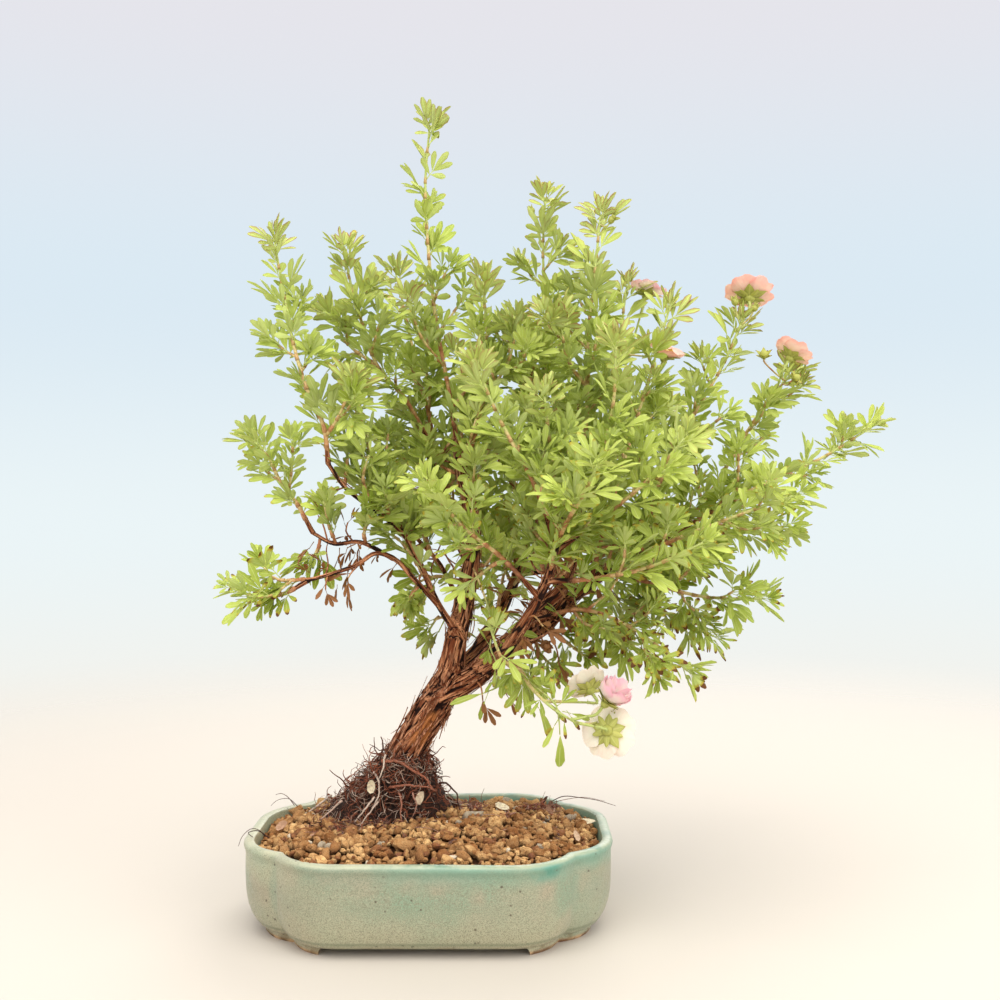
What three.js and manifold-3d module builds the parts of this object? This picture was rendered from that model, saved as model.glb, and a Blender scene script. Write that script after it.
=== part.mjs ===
// Shrubby cinquefoil bonsai in its glazed pot, in millimetres, +Z up.
// The pot's base centre is the origin while the plant is laid out, and at the end the whole
// group moves so that the middle of its footprint stands at the origin.
import * as THREE from 'three';
import { mergeVertices } from 'three/addons/utils/BufferGeometryUtils.js';
import Module from 'manifold-3d';

const wasm = await Module();
wasm.setup();

const CLEARANCE = 0.35;
const CLEAN = 0.012;

// Pot: a rectangle whose corners are two round lobes that meet in a groove.
const POT_LENGTH = 170;
const POT_DEPTH = 125;
const RIM_HEIGHT = 42;
const LOBE_RADIUS = 32;
const GROOVE_DEPTH = 18.5;
const LOBE_STEPS = 3;
const FLOOR_TOP = 8;
const FOOT_HEIGHT = 4;
const FOOT_BAND = 11;
const FOOT_GAP_LENGTH = 92;
const FOOT_GAP_DEPTH = 44;
const DRAIN_RADIUS = 7;
const DRAIN_SPACING = 76;
const SCREEN_SIZE = 22;
const SCREEN_THICKNESS = 1;
const SCREEN_HOLES = 2;
const SCREEN_BAR = 2;
// Height above the table and how far the wall stands in from the widest outline.
const OUTER_PROFILE = [
  [3.6, 9.2], [5, 6.6], [10, 3.2], [19, 0.9], [37, 0.7], [39.6, 0], [41, 0.2], [RIM_HEIGHT, 1.4],
];
const INNER_PROFILE = [[FLOOR_TOP, 13], [13, 8], [36, 5.8], [RIM_HEIGHT + 1, 5.2]];

// Soil: a bed of clay granules, domed beside the roots.
const SOIL_EDGE = 38.6;
const SOIL_CROWN = 45.5;
const GRAIN_PITCH = 9.4;
const GRAIN_HEIGHT = 1.6;
const GRAIN_SHIFT = 2.4;

// Root mound, by height: centre, then half widths of the oval.
const MOUND_RINGS = [
  [16, -18, 15, 25, 19], [26, -19, 16, 33, 24], [40, -20, 17, 34.5, 25.5], [47, -21, 17, 32, 23.5],
  [53, -19.5, 15.5, 26, 20.5], [60, -17.5, 12.5, 20, 17.5], [67, -15, 10, 16, 15],
  [73, -13, 8.5, 13, 12.6],
];
const MOUND_SIDES = 11;
const MOUND_ROUGHNESS = 0.13;
const ROOT_COUNT = 9;
const ROOT_RADIUS = 1.5;

// Leaves: each is a fan of slim leaflets on a short stalk.
const LEAF_STALK = 4.6;
const LEAFLET_LENGTH = 14;
const LEAFLET_WIDTH = 4.2;
const LEAFLET_SPREAD = 41;
const LEAF_THICKNESS = 1.7;
const LEAF_PITCH = 23;
const TIP_LEAF_GAP = 8;
const STEM_STEP = 18;
const SIDE_BARE = 6;
const STEM_RADIUS = 1.05;
const STEM_TIP_RADIUS = 0.75;
const WOODY_LENGTH = 15;

// Flowers: five broad petals in a shallow bowl over a pointed calyx.
const PETAL_RADIUS = 12.3;
const PETAL_DEPTH = 4.2;
const PETAL_THICKNESS = 1.3;
const SEPAL_RADIUS = 7.6;
const PEDICEL_RADIUS = 0.75;
const STAMEN_RADIUS = 3.1;

const COLOURS = {
  glaze: { color: 0x7fa08a, roughness: 0.34, metalness: 0 },
  screen: { color: 0x2a2c2b, roughness: 0.6, metalness: 0 },
  soil: { color: 0xb0824c, roughness: 0.95, metalness: 0 },
  roots: { color: 0x3c281c, roughness: 0.95, metalness: 0 },
  bark: { color: 0x6b412c, roughness: 0.9, metalness: 0 },
  leaf: { color: 0x93ad52, roughness: 0.6, metalness: 0 },
  calyx: { color: 0x9aa548, roughness: 0.65, metalness: 0 },
  stamen: { color: 0xe0b93c, roughness: 0.7, metalness: 0 },
  cream: { color: 0xf6e6cf, roughness: 0.6, metalness: 0 },
  pink: { color: 0xf0b9b4, roughness: 0.6, metalness: 0 },
  salmon: { color: 0xe59e87, roughness: 0.6, metalness: 0 },
};

// Trunk, limbs and thin branches: hand-placed routes from foot to end, with end radii.
const LIMBS = {
  trunk: {
    route: [[-19, 13, 49], [-16, 10, 62], [-11, 7, 77], [-2, 4, 93], [6, 2, 107], [12, 0, 117]],
    radii: [9.6, 7.2],
    sides: 10,
  },
  limb_left: {
    route: [
      [8, 1, 108], [12, 0, 130], [15, 2, 144], [18, 4, 161], [20, 6, 176], [19, 8, 192],
      [15, 10, 207], [12, 12, 226],
    ],
    radii: [6.2, 1.9],
    sides: 7,
  },
  limb_left_back: {
    route: [[19, 5, 168], [8, 20, 187], [0, 26, 205], [-2, 24, 226]],
    radii: [3.4, 1.8],
    sides: 5,
  },
  limb_right: {
    route: [
      [4, 1, 104], [21, -2, 114], [28, -4, 121], [40, -6, 132], [52, -4, 145], [62, 0, 155],
      [68, 4, 169], [70, 8, 188],
    ],
    radii: [6.2, 2],
    sides: 7,
  },
  limb_right_low: {
    route: [[36, -5, 128], [55, 4, 137], [67, 12, 149], [87, 18, 163], [109, 22, 175], [124, 25, 183]],
    radii: [4.4, 1.7],
    sides: 5,
  },
  limb_back: {
    route: [[12, 2, 113], [24, 22, 126], [36, 42, 146], [46, 58, 170], [52, 68, 190]],
    radii: [4.4, 1.8],
    sides: 5,
  },
  limb_front: {
    route: [[24, -3, 117], [34, -16, 126], [44, -28, 142], [54, -36, 162], [58, -42, 180]],
    radii: [3.8, 1.8],
    sides: 5,
  },
  branch_far_left: {
    route: [
      [13, 0, 133], [3, -6, 150], [-4, -10, 167], [-12, -14, 182], [-21, -16, 190],
      [-38, -18, 203], [-46, -18, 214],
    ],
    radii: [2.5, 1.5],
    sides: 4,
  },
  branch_low_left: {
    route: [
      [4, -5, 148], [-7, -15, 161], [-15, -19, 170], [-24, -20, 173], [-32, -22, 168],
      [-43, -24, 164], [-54, -26, 161],
    ],
    radii: [2, 1.4],
    sides: 4,
  },
  branch_mid_left: {
    route: [[-16, -19, 170.5], [-32, -16, 178], [-44, -14, 177], [-54, -12, 182]],
    radii: [1.7, 1.4],
    sides: 4,
  },
  branch_thin: {
    route: [[14, 2, 148], [4, 3, 167], [-2, 1, 174], [-11, -3, 184]],
    radii: [1.9, 1.4],
    sides: 4,
  },
};

// Leafy shoots: the limb and place that each springs from, its route, and its side shoots.
// A side shoot starts at its share of the main shoot. A bloom sits past the end of its shoot.
const SHOOTS = [
  {
    name: 'spray_crown_top',
    limb: 'limb_left',
    at: 1,
    route: [[8, 13, 251], [2, 12, 284], [-2, 10, 323], [-3, 10, 350], [-1, 10, 377]],
    sides: [{ at: 0.24, route: [[-4, 5, 274], [-11, 0, 292]] }],
  },
  {
    name: 'spray_left_leader',
    limb: 'limb_left_back',
    at: 1,
    route: [[-13, 16, 246], [-26, 6, 262], [-33, 0, 283], [-38, -4, 302], [-40, -5, 314]],
    sides: [{ at: 0.45, route: [[-40, 8, 272], [-50, 10, 288]] }],
  },
  {
    name: 'spray_left_tall',
    limb: 'branch_far_left',
    at: 1,
    route: [[-48, -18, 231], [-56, -18, 249], [-62, -17, 269], [-67, -16, 294], [-71, -15, 316]],
    sides: [{ at: 0.12, route: [[-40, -24, 236], [-34, -28, 250]] }],
  },
  {
    name: 'spray_left_back',
    limb: 'limb_left_back',
    at: 0.8,
    route: [[-2, 34, 236], [-8, 40, 258], [-14, 42, 286], [-20, 42, 312]],
  },
  {
    name: 'spray_centre',
    limb: 'limb_left',
    at: 0.86,
    route: [[22, 2, 232], [27, -4, 262], [25, -6, 300]],
    sides: [{ at: 0.4, route: [[37, -12, 262], [41, -18, 280]] }],
  },
  {
    name: 'spray_mid_peak',
    limb: 'limb_right',
    at: 0.84,
    route: [[58, 20, 205], [54, 22, 240], [56, 20, 285], [54, 17, 316], [55, 15, 343]],
    sides: [{ at: 0.42, route: [[46, 12, 262], [40, 8, 280]] }],
  },
  {
    name: 'spray_right_peak',
    limb: 'limb_right',
    at: 1,
    route: [[72, 4, 212], [74, -4, 240], [74, -9, 270], [77, -10, 302], [80, -8, 330]],
    sides: [{ at: 0.44, route: [[64, -20, 262], [60, -26, 280]] }],
  },
  {
    name: 'spray_right_back_peak',
    limb: 'limb_right',
    at: 0.94,
    route: [[80, 24, 214], [86, 34, 240], [92, 38, 268], [97, 38, 304]],
    sides: [{ at: 0.68, route: [[101, 39, 280], [104, 38, 290]], bloom: 'high' }],
  },
  {
    name: 'spray_right_inner',
    limb: 'limb_right_low',
    at: 0.5,
    route: [[82, -6, 184], [92, -18, 222], [102, -22, 256], [110, -22, 284]],
    sides: [{ at: 0.7, route: [[101, -11, 250], [105.5, -7, 255]], bloom: 'inner' }],
  },
  {
    name: 'spray_right_tall',
    limb: 'limb_right_low',
    at: 0.8,
    route: [[108, 10, 200], [126, 6, 238], [140, 6, 262], [148, 5, 281]],
    sides: [{ at: 0.97, route: [[150.5, 5, 285]], bloom: 'tall' }],
  },
  {
    name: 'spray_right_upper',
    limb: 'limb_right_low',
    at: 1,
    route: [[140, 28, 204], [158, 28, 234], [171, 26, 252], [179, 24, 261]],
    sides: [{ at: 0.84, route: [[168, 15, 252], [169, 11, 257]], bloom: 'right' }],
  },
  {
    name: 'spray_far_right',
    limb: 'limb_right_low',
    at: 0.94,
    route: [[140, 10, 194], [163, 3, 207], [186, 3, 217], [201, 4, 226], [211, 5, 232]],
  },
  {
    name: 'spray_right_front',
    limb: 'limb_right_low',
    at: 0.72,
    route: [[104, -8, 174], [124, -24, 184], [147, -30, 193], [166, -32, 200]],
  },
  {
    name: 'spray_right_mid',
    limb: 'limb_right_low',
    at: 0.97,
    route: [[140, 40, 184], [162, 48, 183], [182, 48, 182]],
  },
  {
    name: 'spray_right_low',
    limb: 'limb_right_low',
    at: 0.6,
    route: [[102, 10, 158], [130, 4, 151], [158, 2, 150]],
    sides: [{ at: 0.3, route: [[112, 22, 144], [126, 32, 135], [141, 36, 128]] }],
  },
  {
    name: 'spray_low_centre',
    limb: 'limb_right_low',
    at: 0.36,
    route: [[80, 4, 140], [96, 2, 128], [107, 0, 115]],
  },
  {
    name: 'spray_low_front',
    limb: 'limb_right',
    at: 0.5,
    route: [[70, -18, 147], [90, -27, 141], [105, -32, 131], [117, -34, 121]],
  },
  {
    name: 'spray_front_left',
    limb: 'limb_front',
    at: 0.97,
    route: [[48, -52, 204], [34, -58, 230], [23, -60, 254]],
  },
  {
    name: 'spray_front_low',
    limb: 'limb_front',
    at: 0.66,
    route: [[34, -42, 172], [17, -50, 186], [1, -53, 205]],
    sides: [{ at: 0.34, route: [[26, -40, 166], [17, -40, 157]] }],
  },
  {
    name: 'spray_front_centre',
    limb: 'limb_front',
    at: 1,
    route: [[56, -50, 208], [52, -56, 242]],
  },
  {
    name: 'spray_front_high',
    limb: 'limb_front',
    at: 0.98,
    route: [[74, -42, 208], [82, -48, 238], [83, -52, 264]],
  },
  {
    name: 'spray_front_right',
    limb: 'limb_front',
    at: 0.93,
    route: [[80, -50, 192], [98, -58, 208], [111, -62, 224]],
  },
  {
    name: 'spray_front_right_low',
    limb: 'limb_front',
    at: 0.76,
    route: [[76, -52, 164], [98, -62, 170], [118, -68, 180]],
  },
  {
    name: 'spray_front_out',
    limb: 'limb_front',
    at: 0.9,
    route: [[60, -62, 186], [66, -78, 198], [72, -91, 212]],
  },
  {
    name: 'spray_flowering',
    limb: 'limb_right',
    at: 0.25,
    route: [[40, -22, 122], [47, -37, 114], [56, -49, 107], [66, -54, 101.5]],
    sides: [
      { at: 0.4, route: [[34, -36, 127], [28, -38, 143]] },
      { at: 0.74, route: [[72, -40, 108]], bloom: 'cream_upper' },
      { at: 0.96, route: [[71, -54, 104.5]], bloom: 'pink_cup' },
      { at: 0.99, route: [[74, -59, 101]], bloom: 'cream_lower' },
    ],
  },
  {
    name: 'spray_low_left',
    limb: 'branch_low_left',
    at: 1,
    route: [[-65, -28, 155], [-77, -29, 154], [-88, -30, 158]],
  },
  {
    name: 'spray_mid_left',
    limb: 'branch_mid_left',
    at: 1,
    route: [[-62, -10, 196], [-69, -10, 205], [-75, -10, 217], [-83, -10, 226]],
  },
  {
    name: 'spray_thin_left',
    limb: 'branch_thin',
    at: 1,
    route: [[-20, -4, 202], [-28, -2, 219], [-34, 2, 238], [-38, 4, 252]],
  },
  {
    name: 'spray_back_left',
    limb: 'limb_back',
    at: 0.94,
    route: [[38, 68, 208], [20, 74, 244], [9, 76, 277]],
  },
  {
    name: 'spray_back_centre',
    limb: 'limb_back',
    at: 1,
    route: [[58, 78, 222], [64, 84, 262], [66, 85, 293]],
    sides: [{ at: 0.3, route: [[52, 94, 226], [50, 104, 240]] }],
  },
  {
    name: 'spray_back_right',
    limb: 'limb_back',
    at: 0.96,
    route: [[80, 74, 206], [106, 80, 228], [127, 82, 246]],
  },
  {
    name: 'spray_back_low',
    limb: 'limb_back',
    at: 0.66,
    route: [[70, 58, 160], [102, 64, 160], [131, 68, 163]],
  },
  {
    name: 'spray_back_far_left',
    limb: 'limb_back',
    at: 0.78,
    route: [[20, 56, 188], [-6, 60, 208], [-27, 62, 230]],
    sides: [{ at: 0.4, route: [[2, 50, 190], [-12, 44, 192]] }],
  },
];

// Blooms: which way each faces, how far its pedicel reaches, its petal colour and opening.
const BLOOMS = {
  cream_upper: { facing: [-0.35, 0.7, 0.6], reach: 8, colour: 'cream', scale: 0.9, cup: 0.9 },
  pink_cup: { facing: [0.6, -0.15, 0.75], reach: 6, colour: 'pink', scale: 0.85, cup: 1.9 },
  cream_lower: { facing: [0.25, 0.88, -0.3], reach: 7, colour: 'cream', scale: 1.05, cup: 0.8 },
  tall: { facing: [0.12, 0.55, 0.82], reach: 7, colour: 'salmon', scale: 1.05, cup: 0.7 },
  inner: { facing: [0.3, -0.3, 0.9], reach: 7, colour: 'salmon', scale: 0.85, cup: 0.9 },
  right: { facing: [0.5, 0.3, 0.8], reach: 7, colour: 'salmon', scale: 0.9, cup: 0.9 },
  high: { facing: [0.3, 0.2, 0.95], reach: 7, colour: 'pink', scale: 0.85, cup: 0.9 },
};

// Draws the same numbers at every build.
function seeded(seed) {
  let state = seed;
  return () => {
    state = (state + 0x6d2b79f5) | 0;
    let mixed = Math.imul(state ^ (state >>> 15), 1 | state);
    mixed = (mixed + Math.imul(mixed ^ (mixed >>> 7), 61 | mixed)) ^ mixed;
    return ((mixed ^ (mixed >>> 14)) >>> 0) / 4294967296;
  };
}

function between(draw, low, high) {
  return low + (high - low) * draw();
}

function geometryFrom(points, faces) {
  const geometry = new THREE.BufferGeometry();
  geometry.setAttribute('position', new THREE.Float32BufferAttribute(points.flat(), 3));
  geometry.setIndex(faces.flat());
  return geometry;
}

function toSolid(geometry) {
  const bare = geometry.clone();
  bare.deleteAttribute('normal');
  bare.deleteAttribute('uv');
  const merged = mergeVertices(bare, 1e-4);
  return new wasm.Manifold(new wasm.Mesh({
    numProp: 3,
    vertProperties: new Float32Array(merged.attributes.position.array),
    triVerts: new Uint32Array(merged.index.array),
  }));
}

function toGeometry(solid) {
  const { vertProperties, triVerts } = solid.getMesh();
  const geometry = new THREE.BufferGeometry();
  geometry.setAttribute('position', new THREE.Float32BufferAttribute(vertProperties, 3));
  geometry.setIndex(Array.from(triVerts));
  geometry.computeVertexNormals();
  return geometry;
}

const bonsai = new THREE.Group();
bonsai.name = 'shrubby_cinquefoil_bonsai';

function addNode(name, solid, look) {
  const material = new THREE.MeshStandardMaterial({ ...look, flatShading: true });
  const mesh = new THREE.Mesh(toGeometry(solid.asOriginal().simplify(CLEAN)), material);
  mesh.name = name;
  bonsai.add(mesh);
}

// Skins a stack of rings with equal point counts and closes both ends with a fan.
function loft(rings) {
  const sides = rings[0].length;
  const points = rings.flat();
  const faces = [];
  for (let ring = 0; ring < rings.length - 1; ring += 1) {
    for (let side = 0; side < sides; side += 1) {
      const a = ring * sides + side;
      const b = ring * sides + ((side + 1) % sides);
      faces.push([a, b, b + sides], [a, b + sides, a + sides]);
    }
  }
  const middle = (ring) => [0, 1, 2].map((axis) => ring.reduce((sum, p) => sum + p[axis], 0) / sides);
  const foot = points.push(middle(rings[0])) - 1;
  const head = points.push(middle(rings.at(-1))) - 1;
  const last = (rings.length - 1) * sides;
  for (let side = 0; side < sides; side += 1) {
    const next = (side + 1) % sides;
    faces.push([foot, next, side], [head, last + side, last + next]);
  }
  return toSolid(geometryFrom(points, faces));
}

// Pot outline at a height, set in from the widest outline by inset.
function potRing(z, inset) {
  const halfLength = POT_LENGTH / 2;
  const halfDepth = POT_DEPTH / 2;
  const reach = GROOVE_DEPTH + Math.sqrt(2 * GROOVE_DEPTH * LOBE_RADIUS - GROOVE_DEPTH ** 2);
  const radius = LOBE_RADIUS - inset;
  const sum = reach + LOBE_RADIUS;
  const groove = (sum - Math.sqrt(sum ** 2 - 2 * (reach ** 2 + LOBE_RADIUS ** 2 - radius ** 2))) / 2;
  const sweep = Math.acos(Math.min(1, (LOBE_RADIUS - groove) / radius));
  const corner = [];
  for (let step = 0; step <= LOBE_STEPS; step += 1) {
    const angle = (sweep * step) / LOBE_STEPS;
    corner.push([
      halfLength - LOBE_RADIUS + radius * Math.cos(angle),
      halfDepth - reach + radius * Math.sin(angle),
    ]);
  }
  for (let step = LOBE_STEPS - 1; step >= 0; step -= 1) {
    const angle = Math.PI / 2 - (sweep * step) / LOBE_STEPS;
    corner.push([
      halfLength - reach + radius * Math.cos(angle),
      halfDepth - LOBE_RADIUS + radius * Math.sin(angle),
    ]);
  }
  const back = [...corner].reverse();
  return [
    ...corner.map(([x, y]) => [x, y, z]),
    ...back.map(([x, y]) => [-x, y, z]),
    ...corner.map(([x, y]) => [-x, -y, z]),
    ...back.map(([x, y]) => [x, -y, z]),
  ];
}

function box(length, depth, height, x, y, z) {
  const geometry = new THREE.BoxGeometry(length, depth, height);
  geometry.translate(x, y, z);
  return toSolid(geometry);
}

function makePot() {
  const outside = loft(OUTER_PROFILE.map(([z, inset]) => potRing(z, inset)));
  const inside = loft(INNER_PROFILE.map(([z, inset]) => potRing(z, inset)));
  const footTop = FOOT_HEIGHT + 1;
  const footInset = OUTER_PROFILE[0][1] + 0.2;
  let feet = loft([potRing(0, footInset + 1.2), potRing(1.4, footInset), potRing(footTop, footInset)]);
  const hollow = loft([potRing(-1, footInset + FOOT_BAND), potRing(footTop + 1, footInset + FOOT_BAND)]);
  feet = feet.subtract(hollow);
  feet = feet.subtract(box(FOOT_GAP_LENGTH, POT_DEPTH, 20, 0, 0, 0));
  feet = feet.subtract(box(POT_LENGTH, FOOT_GAP_DEPTH, 20, 0, 0, 0));
  let pot = outside.add(feet).subtract(inside);
  for (const side of [-1, 1]) {
    const drain = new THREE.CylinderGeometry(DRAIN_RADIUS, DRAIN_RADIUS, 30, 12);
    drain.rotateX(Math.PI / 2);
    drain.translate((side * DRAIN_SPACING) / 2, 0, 0);
    pot = pot.subtract(toSolid(drain));
  }
  return pot;
}

// A square of plastic mesh that lies over a drain hole and keeps the soil in.
function makeScreen(x) {
  const pitch = (SCREEN_SIZE - SCREEN_BAR) / SCREEN_HOLES;
  const z = FLOOR_TOP + CLEARANCE + SCREEN_THICKNESS / 2;
  const bars = [];
  for (let index = 0; index <= SCREEN_HOLES; index += 1) {
    const offset = (index - SCREEN_HOLES / 2) * pitch;
    bars.push(box(SCREEN_BAR, SCREEN_SIZE, SCREEN_THICKNESS, x + offset, 0, z));
    bars.push(box(SCREEN_SIZE, SCREEN_BAR, SCREEN_THICKNESS, x, offset, z));
  }
  return wasm.Manifold.union(bars);
}

// Soil level: highest beside the root mound, falling to the edge.
function soilHeight(x, y) {
  const edge = Math.max(Math.abs(x) / (POT_LENGTH / 2), Math.abs(y) / (POT_DEPTH / 2));
  const dome = 1 - Math.min(1, edge) ** 2.6;
  return SOIL_EDGE + (SOIL_CROWN - SOIL_EDGE) * dome;
}

// Soil: a field of granules cut to the inside of the pot.
function makeSoil() {
  const draw = seeded(11);
  const columns = Math.ceil(POT_LENGTH / GRAIN_PITCH);
  const rows = Math.ceil(POT_DEPTH / GRAIN_PITCH);
  const bottom = FLOOR_TOP + CLEARANCE;
  const points = [];
  for (const top of [false, true]) {
    for (let row = 0; row <= rows; row += 1) {
      for (let column = 0; column <= columns; column += 1) {
        const x = (column - columns / 2) * GRAIN_PITCH + between(draw, -GRAIN_SHIFT, GRAIN_SHIFT);
        const y = (row - rows / 2) * GRAIN_PITCH + between(draw, -GRAIN_SHIFT, GRAIN_SHIFT);
        const raised = (row + column) % 2 ? GRAIN_HEIGHT * draw() : -GRAIN_HEIGHT * draw();
        points.push(top ? [x, y, soilHeight(x, y) + raised] : null);
      }
    }
  }
  const count = (rows + 1) * (columns + 1);
  for (let index = 0; index < count; index += 1) {
    const [x, y] = points[index + count];
    points[index] = [x, y, bottom];
  }
  const faces = [];
  const at = (row, column, top) => row * (columns + 1) + column + (top ? count : 0);
  for (let row = 0; row < rows; row += 1) {
    for (let column = 0; column < columns; column += 1) {
      for (const top of [false, true]) {
        const quad = [at(row, column, top), at(row, column + 1, top), at(row + 1, column + 1, top), at(row + 1, column, top)];
        if (!top) {
          quad.reverse();
        }
        faces.push([quad[0], quad[1], quad[2]], [quad[0], quad[2], quad[3]]);
      }
    }
  }
  const wall = (a, b) => faces.push([a, b, b + count], [a, b + count, a + count]);
  for (let column = 0; column < columns; column += 1) {
    wall(at(0, column, false), at(0, column + 1, false));
    wall(at(rows, column + 1, false), at(rows, column, false));
  }
  for (let row = 0; row < rows; row += 1) {
    wall(at(row + 1, 0, false), at(row, 0, false));
    wall(at(row, columns, false), at(row + 1, columns, false));
  }
  const field = toSolid(geometryFrom(points, faces));
  const inside = loft(INNER_PROFILE.map(([z, inset]) => potRing(z, inset + CLEARANCE)));
  let soil = field.intersect(inside);
  for (const side of [-1, 1]) {
    const pocket = SCREEN_SIZE + 2 * CLEARANCE;
    const pocketTop = FLOOR_TOP + SCREEN_THICKNESS + 3 * CLEARANCE;
    soil = soil.subtract(box(pocket, pocket, 4, (side * DRAIN_SPACING) / 2, 0, pocketTop - 2));
  }
  return soil;
}

// Rings along a curve from one length to another, with the radius by share of the way.
function tube(curve, from, to, radiusAt, sides, steps, grow = 0) {
  const total = curve.getLength();
  const frames = curve.computeFrenetFrames(60, false);
  const rings = [];
  for (let step = 0; step <= steps; step += 1) {
    const share = step / steps;
    const along = Math.min(1, (from + (to - from) * share) / total);
    const centre = curve.getPointAt(along);
    const frame = Math.round(along * 60);
    const ring = [];
    for (let side = 0; side < sides; side += 1) {
      const angle = (side / sides) * Math.PI * 2;
      const radius = radiusAt(share, side) + grow;
      const point = centre.clone();
      point.addScaledVector(frames.normals[frame], radius * Math.cos(angle));
      point.addScaledVector(frames.binormals[frame], radius * Math.sin(angle));
      ring.push(point.toArray());
    }
    rings.push(ring);
  }
  return loft(rings);
}

function curveThrough(route) {
  return new THREE.CatmullRomCurve3(route.map((p) => new THREE.Vector3(...p)), false, 'centripetal');
}

// Trunk and limbs thin toward their ends, with ridges of bark.
function makeLimb(limb, seed, grow = 0) {
  const draw = seeded(seed);
  const [foot, end] = limb.radii;
  const ridges = Array.from({ length: limb.sides }, () => between(draw, -0.11, 0.09));
  const radiusAt = (share, side) => {
    const twist = (side + Math.round(share * 3)) % limb.sides;
    return (foot + (end - foot) * share) * (1 + ridges[twist]);
  };
  const length = limb.curve.getLength();
  const steps = Math.max(3, Math.round(length / 18));
  return tube(limb.curve, 0, length, radiusAt, limb.sides, steps, grow);
}

// The root mound: rough oval rings, with thick roots that run down it and sink in at its foot.
function moundRings(grow) {
  const draw = seeded(23);
  return MOUND_RINGS.map(([z, x, y, halfLength, halfDepth], level) => {
    const ring = [];
    for (let side = 0; side < MOUND_SIDES; side += 1) {
      const angle = (side / MOUND_SIDES) * Math.PI * 2;
      const rough = 1 + (level > 2 ? MOUND_ROUGHNESS : 0.04) * between(draw, -1, 0.6);
      const height = z + (level === 0 ? -grow : level === MOUND_RINGS.length - 1 ? grow : 0);
      ring.push([
        x + (halfLength * rough + grow) * Math.cos(angle),
        y + (halfDepth * rough + grow) * Math.sin(angle),
        height,
      ]);
    }
    return ring;
  });
}

function makeRoots() {
  const draw = seeded(31);
  const roots = [];
  const low = MOUND_RINGS[3];
  const top = MOUND_RINGS.at(-1);
  for (let index = 0; index < ROOT_COUNT; index += 1) {
    const angle = ((index + between(draw, -0.3, 0.3)) / ROOT_COUNT) * Math.PI * 2;
    const route = [0, 0.35, 0.7, 1].map((share) => {
      const swing = angle + 0.35 * Math.sin(share * 4 + index);
      const bulge = 1 + 0.1 * Math.sin(share * Math.PI);
      const out = (from, to) => from + (to - from) * share ** 1.25;
      return [
        out(top[1], low[1]) + out(top[3], low[3] * 0.97) * bulge * Math.cos(swing),
        out(top[2], low[2]) + out(top[4], low[4] * 0.97) * bulge * Math.sin(swing),
        top[0] - 1.5 + (low[0] - top[0] + 3.5) * share,
      ];
    });
    const radiusAt = (share) => ROOT_RADIUS * (1 - 0.35 * share);
    const curve = curveThrough(route);
    roots.push(tube(curve, 0, curve.getLength(), radiusAt, 4, 4));
  }
  return roots;
}

// A flat body round a centre: a fan to its outline above and below, edges drawn to nothing.
function fanSolid(outline, topCentre, lowCentre) {
  const count = outline.length;
  const points = [...outline, topCentre, lowCentre];
  const faces = [];
  for (let index = 0; index < count; index += 1) {
    const next = (index + 1) % count;
    faces.push([count, index, next], [count + 1, next, index]);
  }
  return geometryFrom(points, faces);
}

// One leaf: along +X from the stem's axis, leaflets fanned from the end of its stalk.
function leafGeometry(leaflets, size, draw) {
  const outline = [[-0.55, 0, 0]];
  const polar = (radius, degrees, z) => {
    const angle = (degrees * Math.PI) / 180;
    return [(LEAF_STALK + radius * Math.cos(angle)) * size, radius * size * Math.sin(angle), z * size];
  };
  outline.push([(LEAF_STALK - 1.3) * size, -0.85 * size, 0]);
  for (let index = 0; index < leaflets; index += 1) {
    const turn = (index - (leaflets - 1) / 2) * LEAFLET_SPREAD;
    const length = LEAFLET_LENGTH * (1 - 0.1 * Math.abs(turn / LEAFLET_SPREAD)) * between(draw, 0.92, 1.06);
    const shoulder = length * 0.62;
    const half = (Math.atan2(LEAFLET_WIDTH / 2, shoulder) * 180) / Math.PI;
    const rise = between(draw, 0.2, 1.4);
    if (index > 0) {
      outline.push(polar(2.1, turn - LEAFLET_SPREAD / 2, 0));
    }
    outline.push(polar(shoulder, turn - half, rise + 0.5));
    outline.push(polar(length, turn, rise - 0.6));
    outline.push(polar(shoulder, turn + half, rise + 0.5));
  }
  outline.push([(LEAF_STALK - 1.3) * size, 0.85 * size, 0]);
  const half = LEAF_THICKNESS / 2;
  return fanSolid(outline, [LEAF_STALK * size, 0, half], [LEAF_STALK * size, 0, -half]);
}

// Where a leaf leaves its stem: turned about the stem, lifted toward the tip.
function leafPlace(stem, along, turn, lift, roll) {
  const tangent = stem.curve.getTangentAt(along / stem.curve.getLength());
  const side = new THREE.Vector3(0, 0, 1).cross(tangent);
  if (side.length() < 0.1) {
    side.set(1, 0, 0);
  }
  side.normalize().applyAxisAngle(tangent, turn);
  const axis = side.clone().multiplyScalar(Math.cos(lift)).addScaledVector(tangent, Math.sin(lift));
  const normal = tangent.clone().multiplyScalar(Math.cos(lift)).addScaledVector(side, -Math.sin(lift));
  normal.applyAxisAngle(axis, roll);
  const across = normal.clone().cross(axis).normalize();
  const place = new THREE.Matrix4().makeBasis(axis, across, normal);
  place.setPosition(pointOnStem(stem, along));
  return place;
}

// What stands near: every solid laid so far, with the node that it belongs to.
const laid = [];

function lay(node, solid, isLeaf = false) {
  laid.push({ node, solid, isLeaf, bounds: solid.boundingBox() });
}

// A leaf keeps clear of other nodes and of the other leaves on its own shoot.
function standsClear(node, solid) {
  const { min, max } = solid.boundingBox();
  return laid.every((other) => {
    if (other.node === node && !other.isLeaf) {
      return true;
    }
    const apart = [0, 1, 2].some((axis) => (
      min[axis] - CLEARANCE > other.bounds.max[axis] || max[axis] + CLEARANCE < other.bounds.min[axis]
    ));
    return apart || solid.minGap(other.solid, CLEARANCE) >= CLEARANCE;
  });
}

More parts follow.
